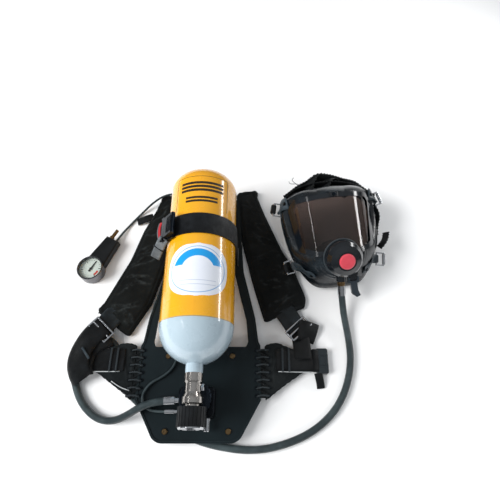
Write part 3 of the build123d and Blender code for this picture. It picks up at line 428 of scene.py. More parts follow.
def shade_smooth(mesh):
    mesh.polygons.foreach_set("use_smooth", [True] * len(mesh.polygons))


def mesh_piece(name, verts, faces, smooth=True, uv=None):
    """A mesh object from plain lists. uv holds one pair for each vertex."""
    mesh = bpy.data.meshes.new(name)
    mesh.from_pydata([tuple(v) for v in verts], [], faces)
    mesh.update()
    if uv is not None:
        layer = mesh.uv_layers.new(name="UVMap")
        for loop in mesh.loops:
            layer.data[loop.index].uv = uv[loop.vertex_index]
    if smooth:
        shade_smooth(mesh)
    return new_object(name, mesh)


def quads(rows, columns, loop_rows=False, loop_columns=False):
    """The faces of a grid of points listed row by row; a looped grid also joins its last to its first."""
    faces = []
    for i in range(rows if loop_rows else rows - 1):
        for j in range(columns if loop_columns else columns - 1):
            k, m = (j + 1) % columns, (i + 1) % rows
            faces.append((i * columns + j, i * columns + k, m * columns + k, m * columns + j))
    return faces


def end_caps(rows, columns):
    """The first and the last row of a grid, each as one face."""
    return [tuple(range(columns))[::-1], tuple((rows - 1) * columns + j for j in range(columns))]


def face_outwards(piece, closed_with=0):
    """Turns every face's normal outwards. Holes of up to closed_with sides are filled before that."""
    bm = bmesh.new()
    bm.from_mesh(piece.data)
    if closed_with:
        bmesh.ops.remove_doubles(bm, verts=bm.verts, dist=1e-6)
        bmesh.ops.holes_fill(bm, edges=[e for e in bm.edges if e.is_boundary], sides=closed_with)
    bmesh.ops.recalc_face_normals(bm, faces=bm.faces)
    bm.to_mesh(piece.data)
    bm.free()
    return piece


def dress(piece, material, body=CARRIER, replaces=()):
    """Gives a new piece its material, its body, and the CAD nodes it stands for."""
    piece.data.materials.append(MATERIALS[material])
    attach(piece, body)
    if replaces:
        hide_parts(*replaces)
    return piece


def smooth_line(points, per_span=8, closed=False):
    """A Catmull-Rom curve through points of any dimension, as an array."""
    p = np.array([list(q) for q in points], float)
    if closed:
        p = np.vstack([p[-1], p, p[:2]])
    else:
        p = np.vstack([2 * p[0] - p[1], p, 2 * p[-1] - p[-2]])
    t = np.linspace(0, 1, per_span, endpoint=False)[:, None]
    rows = []
    for a, b, c, d in zip(p, p[1:], p[2:], p[3:]):
        bend = (2 * a - 5 * b + 4 * c - d) * t**2 + (3 * b - a - 3 * c + d) * t**3
        rows.append(0.5 * (2 * b + (c - a) * t + bend))
    line = np.vstack(rows)
    return line if closed else np.vstack([line, p[-2]])


def normalised(rows):
    return rows / np.maximum(np.linalg.norm(rows, axis=1), 1e-9)[:, None]


def tube(name, line, radius, sides=12, closed=False):
    """A round bar along a line of points."""
    line = np.array([list(q) for q in line], float)
    if closed:
        tangent = normalised(np.roll(line, -1, 0) - np.roll(line, 1, 0))
    else:
        tangent = normalised(np.gradient(line, axis=0))
    guide = np.array([0.0, 0.0, 1.0]) if abs(tangent[0][2]) < 0.9 else np.array([1.0, 0.0, 0.0])
    turn = np.linspace(0, 2 * pi, sides, endpoint=False)
    verts = []
    for centre, t in zip(line, tangent):
        guide = guide - t * (guide @ t)
        guide /= np.linalg.norm(guide)
        side = np.cross(t, guide)
        verts += [centre + radius * (cos(a) * guide + sin(a) * side) for a in turn]
    faces = quads(len(line), sides, loop_rows=closed, loop_columns=True)
    if not closed:
        faces += end_caps(len(line), sides)
    return mesh_piece(name, verts, faces)


def one_each(across, points):
    """The width's direction for each point, from one direction or from a list of them."""
    return [across] * len(points) if isinstance(across[0], (int, float)) else across


def ribbon(name, points, across, width, thickness, per_span=8, crown=0.0, waves=0.0, seed=0.0, teeth=0.0):
    """Flat webbing along a smooth line. across gives the width's direction at each point, as one or a list.

    teeth is how far the toothed edges of a rubber strap stand out, every TOOTH_PITCH."""
    line = smooth_line(points, per_span)
    side = smooth_line(one_each(across, points), per_span)
    tangent = normalised(np.gradient(line, axis=0))
    side = normalised(side - tangent * np.sum(side * tangent, axis=1)[:, None])
    normal = np.cross(tangent, side)
    walked = np.concatenate([[0], np.cumsum(np.linalg.norm(np.diff(line, axis=0), axis=1))])
    half, skin = width / 2, thickness / 2
    top = []
    for u in np.linspace(-1, 1, 9):
        rounding = max(0.0, (abs(u) - 0.93) / 0.07) ** 2 * 0.8
        top.append((half * u, skin * sqrt(max(0.0, 1 - rounding))))
    section = top + [(u, -v) for u, v in reversed(top)]
    verts, uv = [], []
    for centre, s, n, run in zip(line, side, normal, walked):
        for u, v in section:
            lift = v + crown * (1 - (u / half) ** 2)
            lift += waves * noise.noise(Vector((run * 28 + seed, u * 40, seed)))
            out = teeth * (u / half) ** 5 * (0.5 + 0.5 * sin(2 * pi * run / TOOTH_PITCH))
            verts.append(centre + s * (u + out) + n * lift)
            uv.append((run, u))
    faces = quads(len(line), len(section), loop_columns=True) + end_caps(len(line), len(section))
    return face_outwards(mesh_piece(name, verts, faces, uv=uv))


def lathe(name, outline, place, sides=48):
    """A turned piece: (radius, height) points spun about the z axis of place(x, y, height)."""
    verts = []
    for k in range(sides):
        a = 2 * pi * k / sides
        verts += [place(r * cos(a), r * sin(a), h) for r, h in outline]
    return face_outwards(mesh_piece(name, verts, quads(sides, len(outline), loop_rows=True)), sides)


def block(name, place, size, bevel, segments=3):
    """A bar with rounded edges. place(x, y, z) gives a point, size its three sides, centred."""
    bm = bmesh.new()
    bmesh.ops.create_cube(bm, size=1)
    for vert in bm.verts:
        vert.co = vert.co * Vector(size)
    bmesh.ops.bevel(bm, geom=bm.edges, offset=bevel, segments=segments, profile=0.5, affect="EDGES")
    for vert in bm.verts:
        vert.co = place(*vert.co)
    bmesh.ops.recalc_face_normals(bm, faces=bm.faces)
    mesh = bpy.data.meshes.new(name)
    bm.to_mesh(mesh)
    bm.free()
    shade_smooth(mesh)
    return new_object(name, mesh)


def at(origin, heading=(1, 0, 0), up=(0, 0, 1)):
    """A place function: x along heading, z along up, from an origin."""
    z = Vector(up).normalized()
    x = (Vector(heading) - z * Vector(heading).dot(z)).normalized()
    y = z.cross(x)
    start = Vector(origin)
    return lambda a, b, c: start + x * a + y * b + z * c


def evaluated(piece):
    """The piece's mesh with its modifiers applied, as a new mesh."""
    graph = bpy.context.evaluated_depsgraph_get()
    return bpy.data.meshes.new_from_object(piece.evaluated_get(graph))


def bake_modifiers(piece):
    mesh = evaluated(piece)
    piece.modifiers.clear()
    piece.data = mesh
    shade_smooth(mesh)


# ---------------------------------------------------------------- padded pieces


def rounded_outline(corners, radius):
    """A closed outline whose corners are rounded off, as a list of (x, y)."""
    outline = []
    for i, corner in enumerate(corners):
        here = Vector(corner)
        before = Vector(corners[i - 1]) - here
        after = Vector(corners[(i + 1) % len(corners)]) - here
        start = here + before * min(radius / before.length, 0.45)
        end = here + after * min(radius / after.length, 0.45)
        for step in range(6):
            u = step / 5
            outline.append(tuple(start * (1 - u) ** 2 + here * 2 * u * (1 - u) + end * u * u))
    return outline


def moved_out(outline, by):
    """The closed outline moved outwards by a distance, or inwards when it is negative."""
    places = np.array(outline)
    before, after = np.roll(places, 1, 0), np.roll(places, -1, 0)
    area = np.sum(places[:, 0] * after[:, 1] - after[:, 0] * places[:, 1])
    along = normalised(after - before)
    out = np.stack([along[:, 1], -along[:, 0]], 1) * np.sign(area)
    return [tuple(q) for q in places + out * by]


def edge_distance(places, outline):
    """How far each (x, y) place is from a closed outline."""
    nearest = np.full(len(places), 1e9)
    for a, b in zip(np.array(outline), np.array(outline[1:] + outline[:1])):
        along = b - a
        share = np.clip((places - a) @ along / max(along @ along, 1e-12), 0, 1)
        nearest = np.minimum(nearest, np.linalg.norm(places - a - share[:, None] * along, axis=1))
    return nearest


def coordinates(mesh):
    flat = np.empty(len(mesh.vertices) * 3)
    mesh.vertices.foreach_get("co", flat)
    return flat.reshape(-1, 3)


def set_coordinates(mesh, places):
    mesh.vertices.foreach_set("co", places.ravel())
    mesh.update()


def prism(name, outline, height, thickness):
    """A closed slab over an outline. height(x, y) gives its lower face."""
    verts = [(x, y, height(x, y)) for x, y in outline]
    verts += [(x, y, z + thickness) for x, y, z in verts]
    count = len(outline)
    faces = [tuple(range(count))[::-1], tuple(range(count, 2 * count))]
    faces += [(i, (i + 1) % count, count + (i + 1) % count, count + i) for i in range(count)]
    return face_outwards(mesh_piece(name, verts, faces))


def inflate(pad, pressure, cap, slack):
    """Cloth simulation: the cover has a little more cloth than it needs, and the filling presses it out."""
    start = coordinates(pad.data)
    cloth = pad.modifiers.new("cloth", "CLOTH")
    cloth.settings.quality = 4
    cloth.settings.use_pressure = True
    cloth.settings.uniform_pressure_force = pressure
    cloth.settings.effector_weights.gravity = 0
    cloth.settings.shrink_min = -slack
    cloth.settings.shrink_max = -slack
    cloth.settings.bending_stiffness = 0.3
    cloth.collision_settings.use_collision = False
    cloth.point_cache.frame_start = 1
    cloth.point_cache.frame_end = SIMULATED_FRAMES
    for step in range(1, SIMULATED_FRAMES + 1):
        bpy.context.scene.frame_set(step)
    pressed = coordinates(evaluated(pad))
    pad.modifiers.clear()
    bpy.context.scene.frame_set(1)
    move = pressed - start
    reach = np.linalg.norm(move, axis=1)
    move *= np.minimum(1, cap / np.maximum(reach, 1e-9))[:, None]
    set_coordinates(pad.data, start + move)


def padding(node, corners, radius, thickness, height, voxel, creases, material, cap=0.0045, seam=0.008,
            draw_in=0.0035):
    """The padded cover of a node: its outline as a slab, filled out, then sewn round and creased.

    The cover is cut larger by draw_in, which the swelling takes up."""
    sewn = moved_out(rounded_outline(corners, radius), -0.001)
    cut = moved_out(sewn, draw_in)
    pad = prism(node + "_cover", cut, lambda x, y: height(x, y) + 0.12 * thickness, 0.76 * thickness)
    mesh_grid = pad.modifiers.new("remesh", "REMESH")
    mesh_grid.mode = "VOXEL"
    mesh_grid.voxel_size = voxel
    bake_modifiers(pad)
    inflate(pad, 4.0, cap, 0.03)
    finer = pad.modifiers.new("finer", "SUBSURF")
    finer.levels = 1
    bake_modifiers(pad)
    sew(pad, sewn, thickness, height, creases, seam)
    dress(pad, material, replaces=[node])


def sew(pad, outline, thickness, height, creases, seam):
    """Presses a seam a little inside the edge, the creases, and small wrinkles into both faces, and stores a
    painted highlight along the crease ridges and wrinkle tops.
    """
    places = coordinates(pad.data)
    flat = places[:, :2]
    edge = edge_distance(flat, outline)
    middle = np.array([height(x, y) for x, y in flat]) + thickness / 2
    most = thickness / 2
    places[:, 2] = middle + most * np.tanh(1.15 * (places[:, 2] - middle) / most)
    side = np.tanh((places[:, 2] - middle) / (0.15 * thickness))
    groove = 0.11 * thickness * np.exp(-(((edge - seam) / 0.0022) ** 2))
    ridge_shine = np.zeros(len(flat))
    for (x0, y0), (x1, y1), depth in creases:
        start, along = np.array((x0, y0)), np.array((x1 - x0, y1 - y0))
        share = (flat - start) @ along / (along @ along)
        away = np.linalg.norm(flat - start - share[:, None] * along, axis=1)
        bend = 0.003 * np.sin(share * 7 + x0 * 90)
        fade = np.clip(1 - np.abs(2 * share - 1) ** 3, 0, 1)
        groove += depth * fade * np.exp(-(((away - bend) / 0.0032) ** 2))
        ridge = np.exp(-(((away - bend - 0.0055) / 0.0024) ** 2))
        groove -= 0.6 * depth * fade * ridge
        # Painted highlight along the ridge beside the crease.
        ridge_shine += fade * ridge * depth / DEEP_CREASE
    rough = np.array([noise.fractal(Vector((x * 26 + y * 9, y * 26 - x * 9, 3)), 1, 2, 4) for x, y in flat])
    inside = np.clip((edge - 0.004) / 0.012, 0, 1)
    groove += 0.11 * thickness * rough * inside
    places[:, 2] = np.maximum(places[:, 2] - side * groove, LOWEST)
    set_coordinates(pad.data, places)
    # The painted highlight on the ridges beside each crease and on the raised wrinkles, kept for the cloth's
    # colour.
    worn = pad.data.attributes.new("ridge_highlight", "FLOAT", "POINT")
    worn.data.foreach_set("value", np.clip(ridge_shine + 0.25 * np.clip(-rough, 0, 1) * inside, 0, 1))


def edging(name, corners):
    """Piping sewn into a shoulder pad's edge."""
    line = [(x, y, 0.0078) for x, y in moved_out(rounded_outline(corners, PAD_CORNER), -0.0015)]
    piece = tube(name, smooth_line(line, 4, closed=True), 0.0014, 8, closed=True)
    dress(piece, "pad")


def level(z):
    return lambda x, y: z


def drooping(x, y):
    """The lower face of the right waist pad, which slopes down outwards."""
    return 0.015 - (x - WING_X) * sin(WING_DROOP)


# Outlines of the shoulder pads, and their creases from one end to the other, with a depth
PAD_CORNER = 0.008
SHOULDER_LEFT = mm([
    (-66, 420), (-106, 423), (-116, 412), (-151, 327), (-172, 252), (-226, 128), (-172, 90), (-150, 78),
    (-112, 146), (-98, 199), (-86, 250), (-78, 300), (-70, 360),
])
SHOULDER_RIGHT = mm([
    (66, 430), (112, 440), (135, 373), (175, 272), (196, 236), (222, 160), (218, 138), (130, 107),
    (104, 199), (92, 250), (80, 300), (70, 360),
])
CREASES_LEFT = mm([
    ((-95, 395), (-135, 350), 1.6), ((-150, 315), (-92, 330), 1.4), ((-95, 292), (-160, 262), 2.0),
    ((-170, 232), (-108, 262), 1.8), ((-180, 215), (-112, 196), 2.2), ((-196, 172), (-130, 205), 1.8),
    ((-205, 130), (-128, 148), 2.4), ((-150, 98), (-168, 136), 1.8), ((-135, 262), (-100, 300), 1.6),
])
CREASES_RIGHT = mm([
    ((82, 405), (118, 372), 1.6), ((90, 352), (136, 330), 1.4), ((98, 318), (150, 288), 1.8),
    ((104, 250), (170, 268), 1.6), ((118, 196), (186, 190), 2.6), ((150, 236), (200, 200), 1.6),
    ((138, 128), (196, 172), 1.8), ((168, 128), (208, 150), 1.6),
])


def shoulder_pads():
    sides = {"left": (SHOULDER_LEFT, CREASES_LEFT), "right": (SHOULDER_RIGHT, CREASES_RIGHT)}
    for side, (corners, creases) in sides.items():
        padding("shoulder_pad_" + side, corners, PAD_CORNER, 0.0165, level(0.0), 0.005, creases, "pad")
    for side, (corners, _) in sides.items():
        edging("shoulder_piping_" + side, corners)


# Middle and half size of each pad that lies against the wearer's back
BACK_PADS = {
    "lumbar_pad": mm(((0, 0), (62, 45))),
    "back_pad": mm(((0, 348), (60, 46))),
}


def back_pads():
    """The pads that lie against the wearer's back, each with a sewn cross."""
    for node, ((x, y), (half_x, half_y)) in BACK_PADS.items():
        left, right, near, far = x - half_x, x + half_x, y - half_y, y + half_y
        corners = [(left, near), (right, near), (right, far), (left, far)]
        cross = [((left, y), (right, y), 0.0022), ((x, near), (x, far), 0.0022)]
        padding(node, corners, 0.018, 0.017, level(0.0), 0.006, cross, "pad")


# Waist pads: the outline outwards from the plate's wing, and the folds, for each side
WING_PAD = mm([(0, 56), (26, 64), (63, 51), (97, 49), (97, 4), (78, 0), (0, -53)])
WING_X = 0.127
WING_DROOP = radians(5.5)
WAIST_PADS = {
    "left": (-1, level(0.015), mm([((-150, 52), (-135, -30), 1.0), ((-205, 10), (-150, -25), 0.8)])),
    "right": (1, drooping, mm([((150, 52), (138, -30), 1.0), ((200, 6), (150, -25), 0.8)])),
}


def waist_pads():
    for label, (side, height, folds) in WAIST_PADS.items():
        corners = [(side * (WING_X + x), y) for x, y in WING_PAD]
        padding("waist_pad_" + label, corners, 0.006, 0.007, height, 0.0035, folds, "belt_pad",
                cap=0.0012, seam=0.005, draw_in=0.0008)


# ---------------------------------------------------------------- webbing, lacing and piping


def webbing_band(name, points, across, width, material="belt_webbing", replaces=(), thickness=0.0022,
                 **shape):
    piece = ribbon(name, points, across, width, thickness, **shape)
    return dress(piece, material, replaces=replaces)


# Straps from the shoulder pads through their slide buckles to the waist belt, with their loose tails
SHOULDER_STRAPS = {
    "shoulder_strap_left_upper": (mm([
        (-176, 142, 12), (-188, 122, 15), (-196, 107, 20), (-203, 95, 23.2),
    ]), (0.74, -0.67, 0), 0.044, {"material": "webbing", "replaces": ["shoulder_strap_left"]}),
    "shoulder_strap_left_lower": (mm([
        (-201, 98, 21.5), (-212, 80, 21.5), (-225, 58, 23.2), (-232, 38, 25.8), (-234, 20, 26.8),
        (-233, 6, 25), (-231, -4, 19.5),
    ]), [
        (0.85, -0.53, 0), (0.85, -0.53, 0), (0.87, -0.5, 0), (0.92, -0.38, 0.05), (0.96, -0.25, 0.1),
        (0.98, -0.15, 0.1), (0.99, -0.05, 0.1),
    ], 0.046, {"crown": 0.0012, "waves": 0.0016, "seed": 1}),
    "shoulder_strap_left_tail": (mm([
        (-204, 94, 26.2), (-217, 80, 28.5), (-229, 64, 29), (-237, 46, 31), (-240, 28, 31.5), (-239, 12, 30),
        (-234, -2, 25), (-228, -10, 19),
    ]), [
        (0.73, -0.68, 0), (0.78, -0.62, 0.05), (0.88, -0.46, 0.1), (0.96, -0.24, 0.15), (1, -0.05, 0.18),
        (0.97, 0.2, 0.2), (0.9, 0.42, 0.2), (0.82, 0.56, 0.1),
    ], 0.046, {"crown": 0.0026, "waves": 0.0030, "seed": 5}),
    "shoulder_strap_left_fold": (mm([
        (-186, 70, 19), (-198, 64, 24), (-211, 56, 25), (-225, 44, 23.5), (-236, 30, 21),
    ]), (0.55, -0.83, 0), 0.034, {"crown": 0.0018, "waves": 0.0024, "seed": 9}),
    "shoulder_strap_right_upper": (mm([
        (166, 138, 12), (178, 122, 15), (190, 104, 12.5), (200, 90, 10.5),
    ]), (0.75, 0.66, 0), 0.044, {"material": "webbing", "replaces": ["shoulder_strap_right"]}),
    "shoulder_strap_right_lower": (mm([
        (201, 92, 9), (204, 76, 11), (205.5, 58, 16.5), (206, 40, 19.2), (206, 28, 19),
    ]), [
        (0.8, 0.6, 0), (0.95, 0.25, 0.05), (1, 0, 0), (1, 0, 0), (1, 0, 0),
    ], 0.036, {"crown": 0.0008, "waves": 0.001, "seed": 3}),
    "shoulder_strap_right_tail": (mm([
        (200, 88, 20.5), (212, 86, 19.5), (226, 83, 14), (238, 80, 8.5),
    ]), (0.70, 0.71, 0.0), 0.042, {"crown": 0.0015, "waves": 0.0014, "seed": 12}),
    "pad_hanger_tab": (mm([
        (-132, 366, 10), (-146, 361, 11.2), (-160, 357, 7), (-170, 354, 3.2),
    ]), (-0.3, 0.95, 0), 0.018, {}),
}


def shoulder_straps():
    for name, (points, across, width, shape) in SHOULDER_STRAPS.items():
        webbing_band(name, points, across, width, **shape)


# Belt keepers: their place along the belt and their height
KEEPERS = {"left": (-165, 26.8), "left_outer": (-178, 26.6), "right": (165, 23.2), "right_outer": (178, 22)}
BELT_Y = 0.026
BELT_WIDTH = 0.044


def waist_belt():
    """Belt webbing over each waist pad, with its keepers, its sewn ends and the piping under it."""
    webbing_band("waist_belt_left", mm([
        (-151, 26, 22.8), (-170, 26, 23.6), (-190, 26, 23.6), (-210, 26, 23.4), (-228, 26, 21.5),
    ]), (0, 1, 0), BELT_WIDTH, replaces=["waist_strap_left"], crown=0.0006, waves=0.0008, seed=2)
    on_pad = [(x, BELT_Y, drooping(x, 0) + above)
              for x, above in mm([(151, 8.3), (175, 9), (200, 9), (226, 8.8)])]
    webbing_band("waist_belt_right", on_pad + mm([(238, 26, 12)]), (0, 1, 0), BELT_WIDTH,
                 replaces=["waist_strap_right"], crown=0.0006, waves=0.0008, seed=4)
    for name, place in KEEPERS.items():
        x, z = mm(place)
        keeper = block("belt_keeper_" + name, at((x, BELT_Y, z)), (0.0040, 0.047, 0.0024), 0.0008)
        dress(keeper, "buckle")
    place = at((-0.2255, 0.0360, 0.0392), (0.62, -0.78, 0.0))
    dress(block("belt_keeper_loose", place, (0.028, 0.0045, 0.0024), 0.0008), "lug")
    fold = mm([(226, 26, 15), (230, 26, 16.6), (234, 26, 16), (238, 26, 13.6)])
    webbing_band("belt_fold_right", fold, (0, 1, 0), 0.045)
    tab = mm([(236, 2, 12), (238, -8, 10), (240, -18, 6), (241, -26, 2.4)])
    webbing_band("belt_end_tab", tab, (1, 0.1, 0), 0.016, crown=0.001)
    piping("belt_piping_left", mm([(-224, 3.5, 23.5), (-205, 3, 24), (-180, 3, 24), (-158, 3.5, 23)]))
    piping("pad_piping_left", mm([(-172, -15, 22.8), (-152, -26.5, 23.2), (-134, -32.5, 23)]))
    piping("belt_piping_right", mm([(156, 3.5, 21), (180, 3, 19), (205, 3, 16.5), (222, 3.5, 14.5)]))


def piping(name, points):
    dress(tube(name, smooth_line(points, 4), 0.0009, 8), "piping")


# Lacing: its rungs, the columns of eyelets on the wing and on the pad, and an eyelet's section
LACE_ROWS = 7
LACE_PITCH = 0.0145
LACE_START_Y = 0.001 - 3 * LACE_PITCH
WING_COLUMN = 0.1125
PAD_COLUMN = 0.1375
EYELET = mm([(1.6, 0), (3, 0), (3.2, 0.6), (2.6, 1.1), (1.8, 1), (1.6, 0)])


def lacing():
    """Elastic lacing from each plate wing to its waist pad: short rungs, with slanting cords between, over a
    dark band that is painted shade in the gap.
    """
    sides = ((-1, "left"), (1, "right"))
    for side, label in sides:
        # Dark band under the rungs: painted shade for the gap between wing and pad.
        run = [(side * 0.1235, y, 0.0190) for y in (-0.046, -0.016, 0.016, 0.046)]
        webbing_band(f"lace_shade_band_{label}", run, (1, 0, 0), 0.0120, "belt_pad", thickness=0.0014)
    replaced = ["wing_lacing"]
    for side, label in sides:
        rows = [LACE_START_Y + LACE_PITCH * row for row in range(LACE_ROWS)]
        for row, y in enumerate(rows):
            rung = [(side * x, y + shift, z) for x, shift, z in mm([
                (112.5, -1.5, 24.2), (118, 0, 25.6), (125, 1, 26), (132, 0.5, 25.6), (137.5, 0, 24.2),
            ])]
            cord = tube(f"lace_{label}_{row + 1}", smooth_line(rung, 4), 0.0014, 8)
            dress(cord, "lacing", replaces=replaced)
            replaced = []
        for row, y in enumerate(rows[:-1]):
            slant = [(side * PAD_COLUMN, y, 0.0240), (side * 0.125, y + LACE_PITCH / 2, 0.0246),
                     (side * WING_COLUMN, y + LACE_PITCH - 0.0015, 0.0240)]
            cord = tube(f"lace_slant_{label}_{row}", smooth_line(slant, 5), 0.0010, 6)
            dress(cord, "belt_webbing")
        for x in (WING_COLUMN, PAD_COLUMN):
            for row, y in enumerate(rows):
                ring = lathe(f"eyelet_{label}_{round(x * 1e4)}_{row}", EYELET, at((side * x, y, 0.0232)), 16)
                dress(ring, "dark_metal")


# ---------------------------------------------------------------- face mask

FACE_MIDDLE_Y = 0.015
FACE_SIDE = mm([(0, 112), (66, 108), (101, 74), (102, 20), (86, -46), (52, -98), (0, -106)])
VISOR_SEAT = mm([
    (-91, 72), (-79, 87), (79, 87), (91, 72), (81, -24), (50, -41), (-50, -41), (-81, -24),
])
SEAT_RADIUS = VISOR_RADIUS + 0.002
FACE_BULGE = 0.010
# The rim seen in section: distance out from the face outline, and height
RIM_SECTION = mm([
    (-18, 6), (-9, 1.5), (-2, -2.2), (1.6, -1.4), (3, 2.2), (2, 6.2), (-0.6, 8.6), (-0.8, 11.2),
])
PORT_HOLE = 0.0338
PORT_FLAT = 0.040
PORT_REACH = 0.062
RIDGE_PITCH = 0.0062
RIDGE_HEIGHT = 0.0011


def polar_reach(outline):
    """Distance from the middle of the face to a closed outline, as a function of the angle."""
    places = np.array(outline) - np.array((0.0, FACE_MIDDLE_Y))
    angle = np.arctan2(places[:, 1], places[:, 0])
    order = np.argsort(angle)
    reach = np.hypot(places[:, 0], places[:, 1])[order]
    return lambda a: float(np.interp(a, angle[order], reach, period=2 * pi))


face_reach = polar_reach(smooth_line(FACE_SIDE + [(-x, y) for x, y in FACE_SIDE[-2:0:-1]], 12, closed=True))
seat_reach = polar_reach(smooth_line(rounded_outline(VISOR_SEAT, 0.014), 3, closed=True))


def face_point(angle, share, lift=0.0):
    """A point of the facepiece in the mask's own axes: share is 0 at the rim and 1 at the visor's seat."""
    out = Vector((cos(angle), sin(angle)))
    rim, seat = face_reach(angle), seat_reach(angle)
    seat_x = out.x * seat
    seat_height = VISOR_AXIS_DEPTH + sqrt(SEAT_RADIUS**2 - seat_x**2)
    run, rise = rim - seat, seat_height
    length = hypot(run, rise)
    bulge = FACE_BULGE * sin(pi * min(max(share, 0), 1)) ** 0.9 + lift
    reach = rim + (seat - rim) * share + bulge * rise / length
    height = rise * share + bulge * run / length
    return Vector((out.x * reach, FACE_MIDDLE_Y + out.y * reach, height))


def round_the_port(place):
    """Brings the skin level with the valve's port, in low rings like a bellows."""
    away = place - valve_origin
    x, y, height = away.dot(mask_x), away.dot(valve_y), away.dot(valve_z)
    reach = hypot(x, y)
    pull = min(max((PORT_REACH - reach) / (PORT_REACH - PORT_FLAT), 0), 1)
    pull = pull * pull * (3 - 2 * pull)
    target = 0.001 - 0.30 * max(reach - PORT_HOLE, 0)
    height += (min(target, height + 0.012) - height) * pull
    if PORT_FLAT - 0.004 < reach < PORT_REACH:
        height += RIDGE_HEIGHT * cos(2 * pi * (reach - PORT_FLAT) / RIDGE_PITCH) * min(1, pull * 3)
    return in_valve(x, y, height), reach, height


def facepiece():
    """The rubber skin from the rim up to the visor's seat, open where the port is."""
    around, up, far_from_port = 200, 40, 1.0
    verts, reaches = [], []
    for i in range(around):
        angle = 2 * pi * i / around - pi
        out = Vector((cos(angle), sin(angle), 0))
        rim = face_reach(angle)
        for d, h in RIM_SECTION:
            verts.append(in_mask(*(out * (rim + d) + Vector((0, FACE_MIDDLE_Y, h)))))
            reaches.append(far_from_port)
        for k in range(1, up + 1):
            share = 0.16 + 0.84 * k / up
            place, reach, height = round_the_port(in_mask(*face_point(angle, share)))
            verts.append(place)
            reaches.append(reach if abs(height) < 0.03 else far_from_port)
    faces = quads(around, len(RIM_SECTION) + up, loop_rows=True)
    faces = [face for face in faces if min(reaches[corner] for corner in face) > PORT_HOLE]
    skin = face_outwards(mesh_piece("facepiece_skin", verts, faces))
    thick = skin.modifiers.new("thick", "SOLIDIFY")
    thick.thickness = 0.0026
    thick.offset = -1
    finer = skin.modifiers.new("finer", "SUBSURF")
    finer.levels = 1
    bake_modifiers(skin)
    dress(skin, "mask", replaces=["mask_facepiece"])


def mask_ribbon(name, points, across, width, material="harness", thickness=0.0024, **shape):
    """A rubber strap given in the mask's own axes."""
    turned = [mask_x * a + mask_y * b + mask_z * c for a, b, c in one_each(across, points)]
    piece = ribbon(name, [in_mask(*q) for q in points], turned, width, thickness, **shape)
    return dress(piece, material)


# Lobes of the rim that reach out to the strap buckles: their angles round the face, how far up they start,
# the place of the buckle, and their width
LUGS = {
    "temple_left": ((142, 146, 149), (0.86, 0.55, 0.22), (-0.1010, 0.0735, 0.0085), 0.026),
    "temple_right": ((38, 34, 31), (0.86, 0.55, 0.22), (0.1010, 0.0735, 0.0085), 0.026),
    "cheek_left": ((-118, -128, -138), (0.36, 0.30, 0.22), (-0.0915, -0.0515, 0.0085), 0.019),
    "cheek_right": ((-62, -52, -42), (0.36, 0.30, 0.22), (0.0895, -0.0575, 0.0085), 0.019),
}
RIVET = mm([(0, 0), (4.2, 0), (4.5, 0.6), (3.8, 1.4), (2, 1.8), (0, 1.6)])


def lugs():
    """A flat lobe for each strap buckle, with its rivet."""
    for name, (angles, shares, buckle, width) in LUGS.items():
        points, across = [], []
        for angle, share in zip(angles, shares):
            here = face_point(radians(angle), share, 0.0022)
            points.append(here)
            across.append(face_point(radians(angle) + 0.05, share, 0.0022) - here)
        points.append(Vector(buckle))
        across.append(across[-1])
        mask_ribbon("lug_" + name, points, across, width, "lug", 0.0040, crown=0.0008)
        seat = points[0].lerp(points[1], 0.45)
        up = (points[0] - points[2]).cross(across[1]).normalized()
        up = up if up.z > 0 or up.dot(seat - Vector((0, FACE_MIDDLE_Y, 0))) > 0 else -up
        world_up = mask_x * up.x + mask_y * up.y + mask_z * up.z
        rivet = lathe("rivet_" + name, RIVET, at(in_mask(*(seat + up * 0.0026)), mask_x, world_up), 20)
        dress(rivet, "reducer")


# The rubber head straps, folded forward over the brow: points, direction of the width, width, and wave seed
HARNESS = {
    "harness_brow": (mm([
        (-92, 94, 2), (-66, 110, 6), (-36, 117, 11), (-4, 120, 12), (30, 117, 10), (64, 107, 6), (97, 86, 2),
    ]), (0, 0.42, 0.9), 0.030, 21),
    "harness_crown": (mm([
        (-88, 102, -10), (-60, 118, -4), (-34, 127, 4), (-14, 136, 6), (10, 134, 2), (40, 125, -2),
        (70, 113, -6), (99, 89, -10),
    ]), (0, 0.72, 0.7), 0.026, 22),
    "harness_loop_left": (mm([
        (-40, 108, 18), (-34, 126, 20), (-24, 140, 12), (-12, 141, 0), (-4, 130, -10),
    ]), (0.75, 0.240, 0.6), 0.020, 23),
    "harness_loop_right": (mm([
        (0, 114, 19), (8, 128, 18), (20, 135, 6), (34, 128, -6), (40, 114, -12),
    ]), (0.7, -0.3, 0.62), 0.020, 24),
    "harness_temple_right": (mm([
        (60, 102, 14), (78, 96, 18), (92, 86, 14), (101, 82, 6), (103, 70, 3),
    ]), (0.3, 0.290, 0.9), 0.022, 25),
    "harness_temple_left": (mm([
        (-58, 104, 13), (-74, 98, 15), (-86, 88, 12), (-96, 86, 6),
    ]), (-0.3, 0.290, 0.9), 0.022, 26),
    "harness_nape": (mm([
        (-50, 102, -20), (-26, 114, -14), (4, 120, -16), (34, 114, -18), (60, 98, -22),
    ]), (0, 0.3, 0.95), 0.024, 27),
    "harness_side_right": (mm([
        (103, 62, 12), (106, 40, 16), (104, 16, 12), (101, -4, 8),
    ]), (0.2, 0, 0.98), 0.016, 28),
}
TIE_CORDS = {
    "tie_cord_a": mm([(-56, 112, 10), (-61, 127, 12), (-70, 139, 10), (-66, 146, 8)]),
    "tie_cord_b": mm([(-50, 116, 10), (-58, 128, 13), (-75, 132, 11), (-78, 138, 9)]),
}


def head_harness():
    """The head straps, bunched at the brow, and two thin cords tied to them."""
    for name, (points, across, width, seed) in HARNESS.items():
        waves = 0.004 if name == "harness_brow" else 0.005
        strap = mask_ribbon(name, points, across, width, per_span=20, teeth=0.0022, waves=waves, seed=seed)
        if name == "harness_brow":
            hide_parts("head_harness")
    for name, points in TIE_CORDS.items():
        cord = tube(name, smooth_line([in_mask(*q) for q in points], 6), 0.0006, 6)
        dress(cord, "lacing")


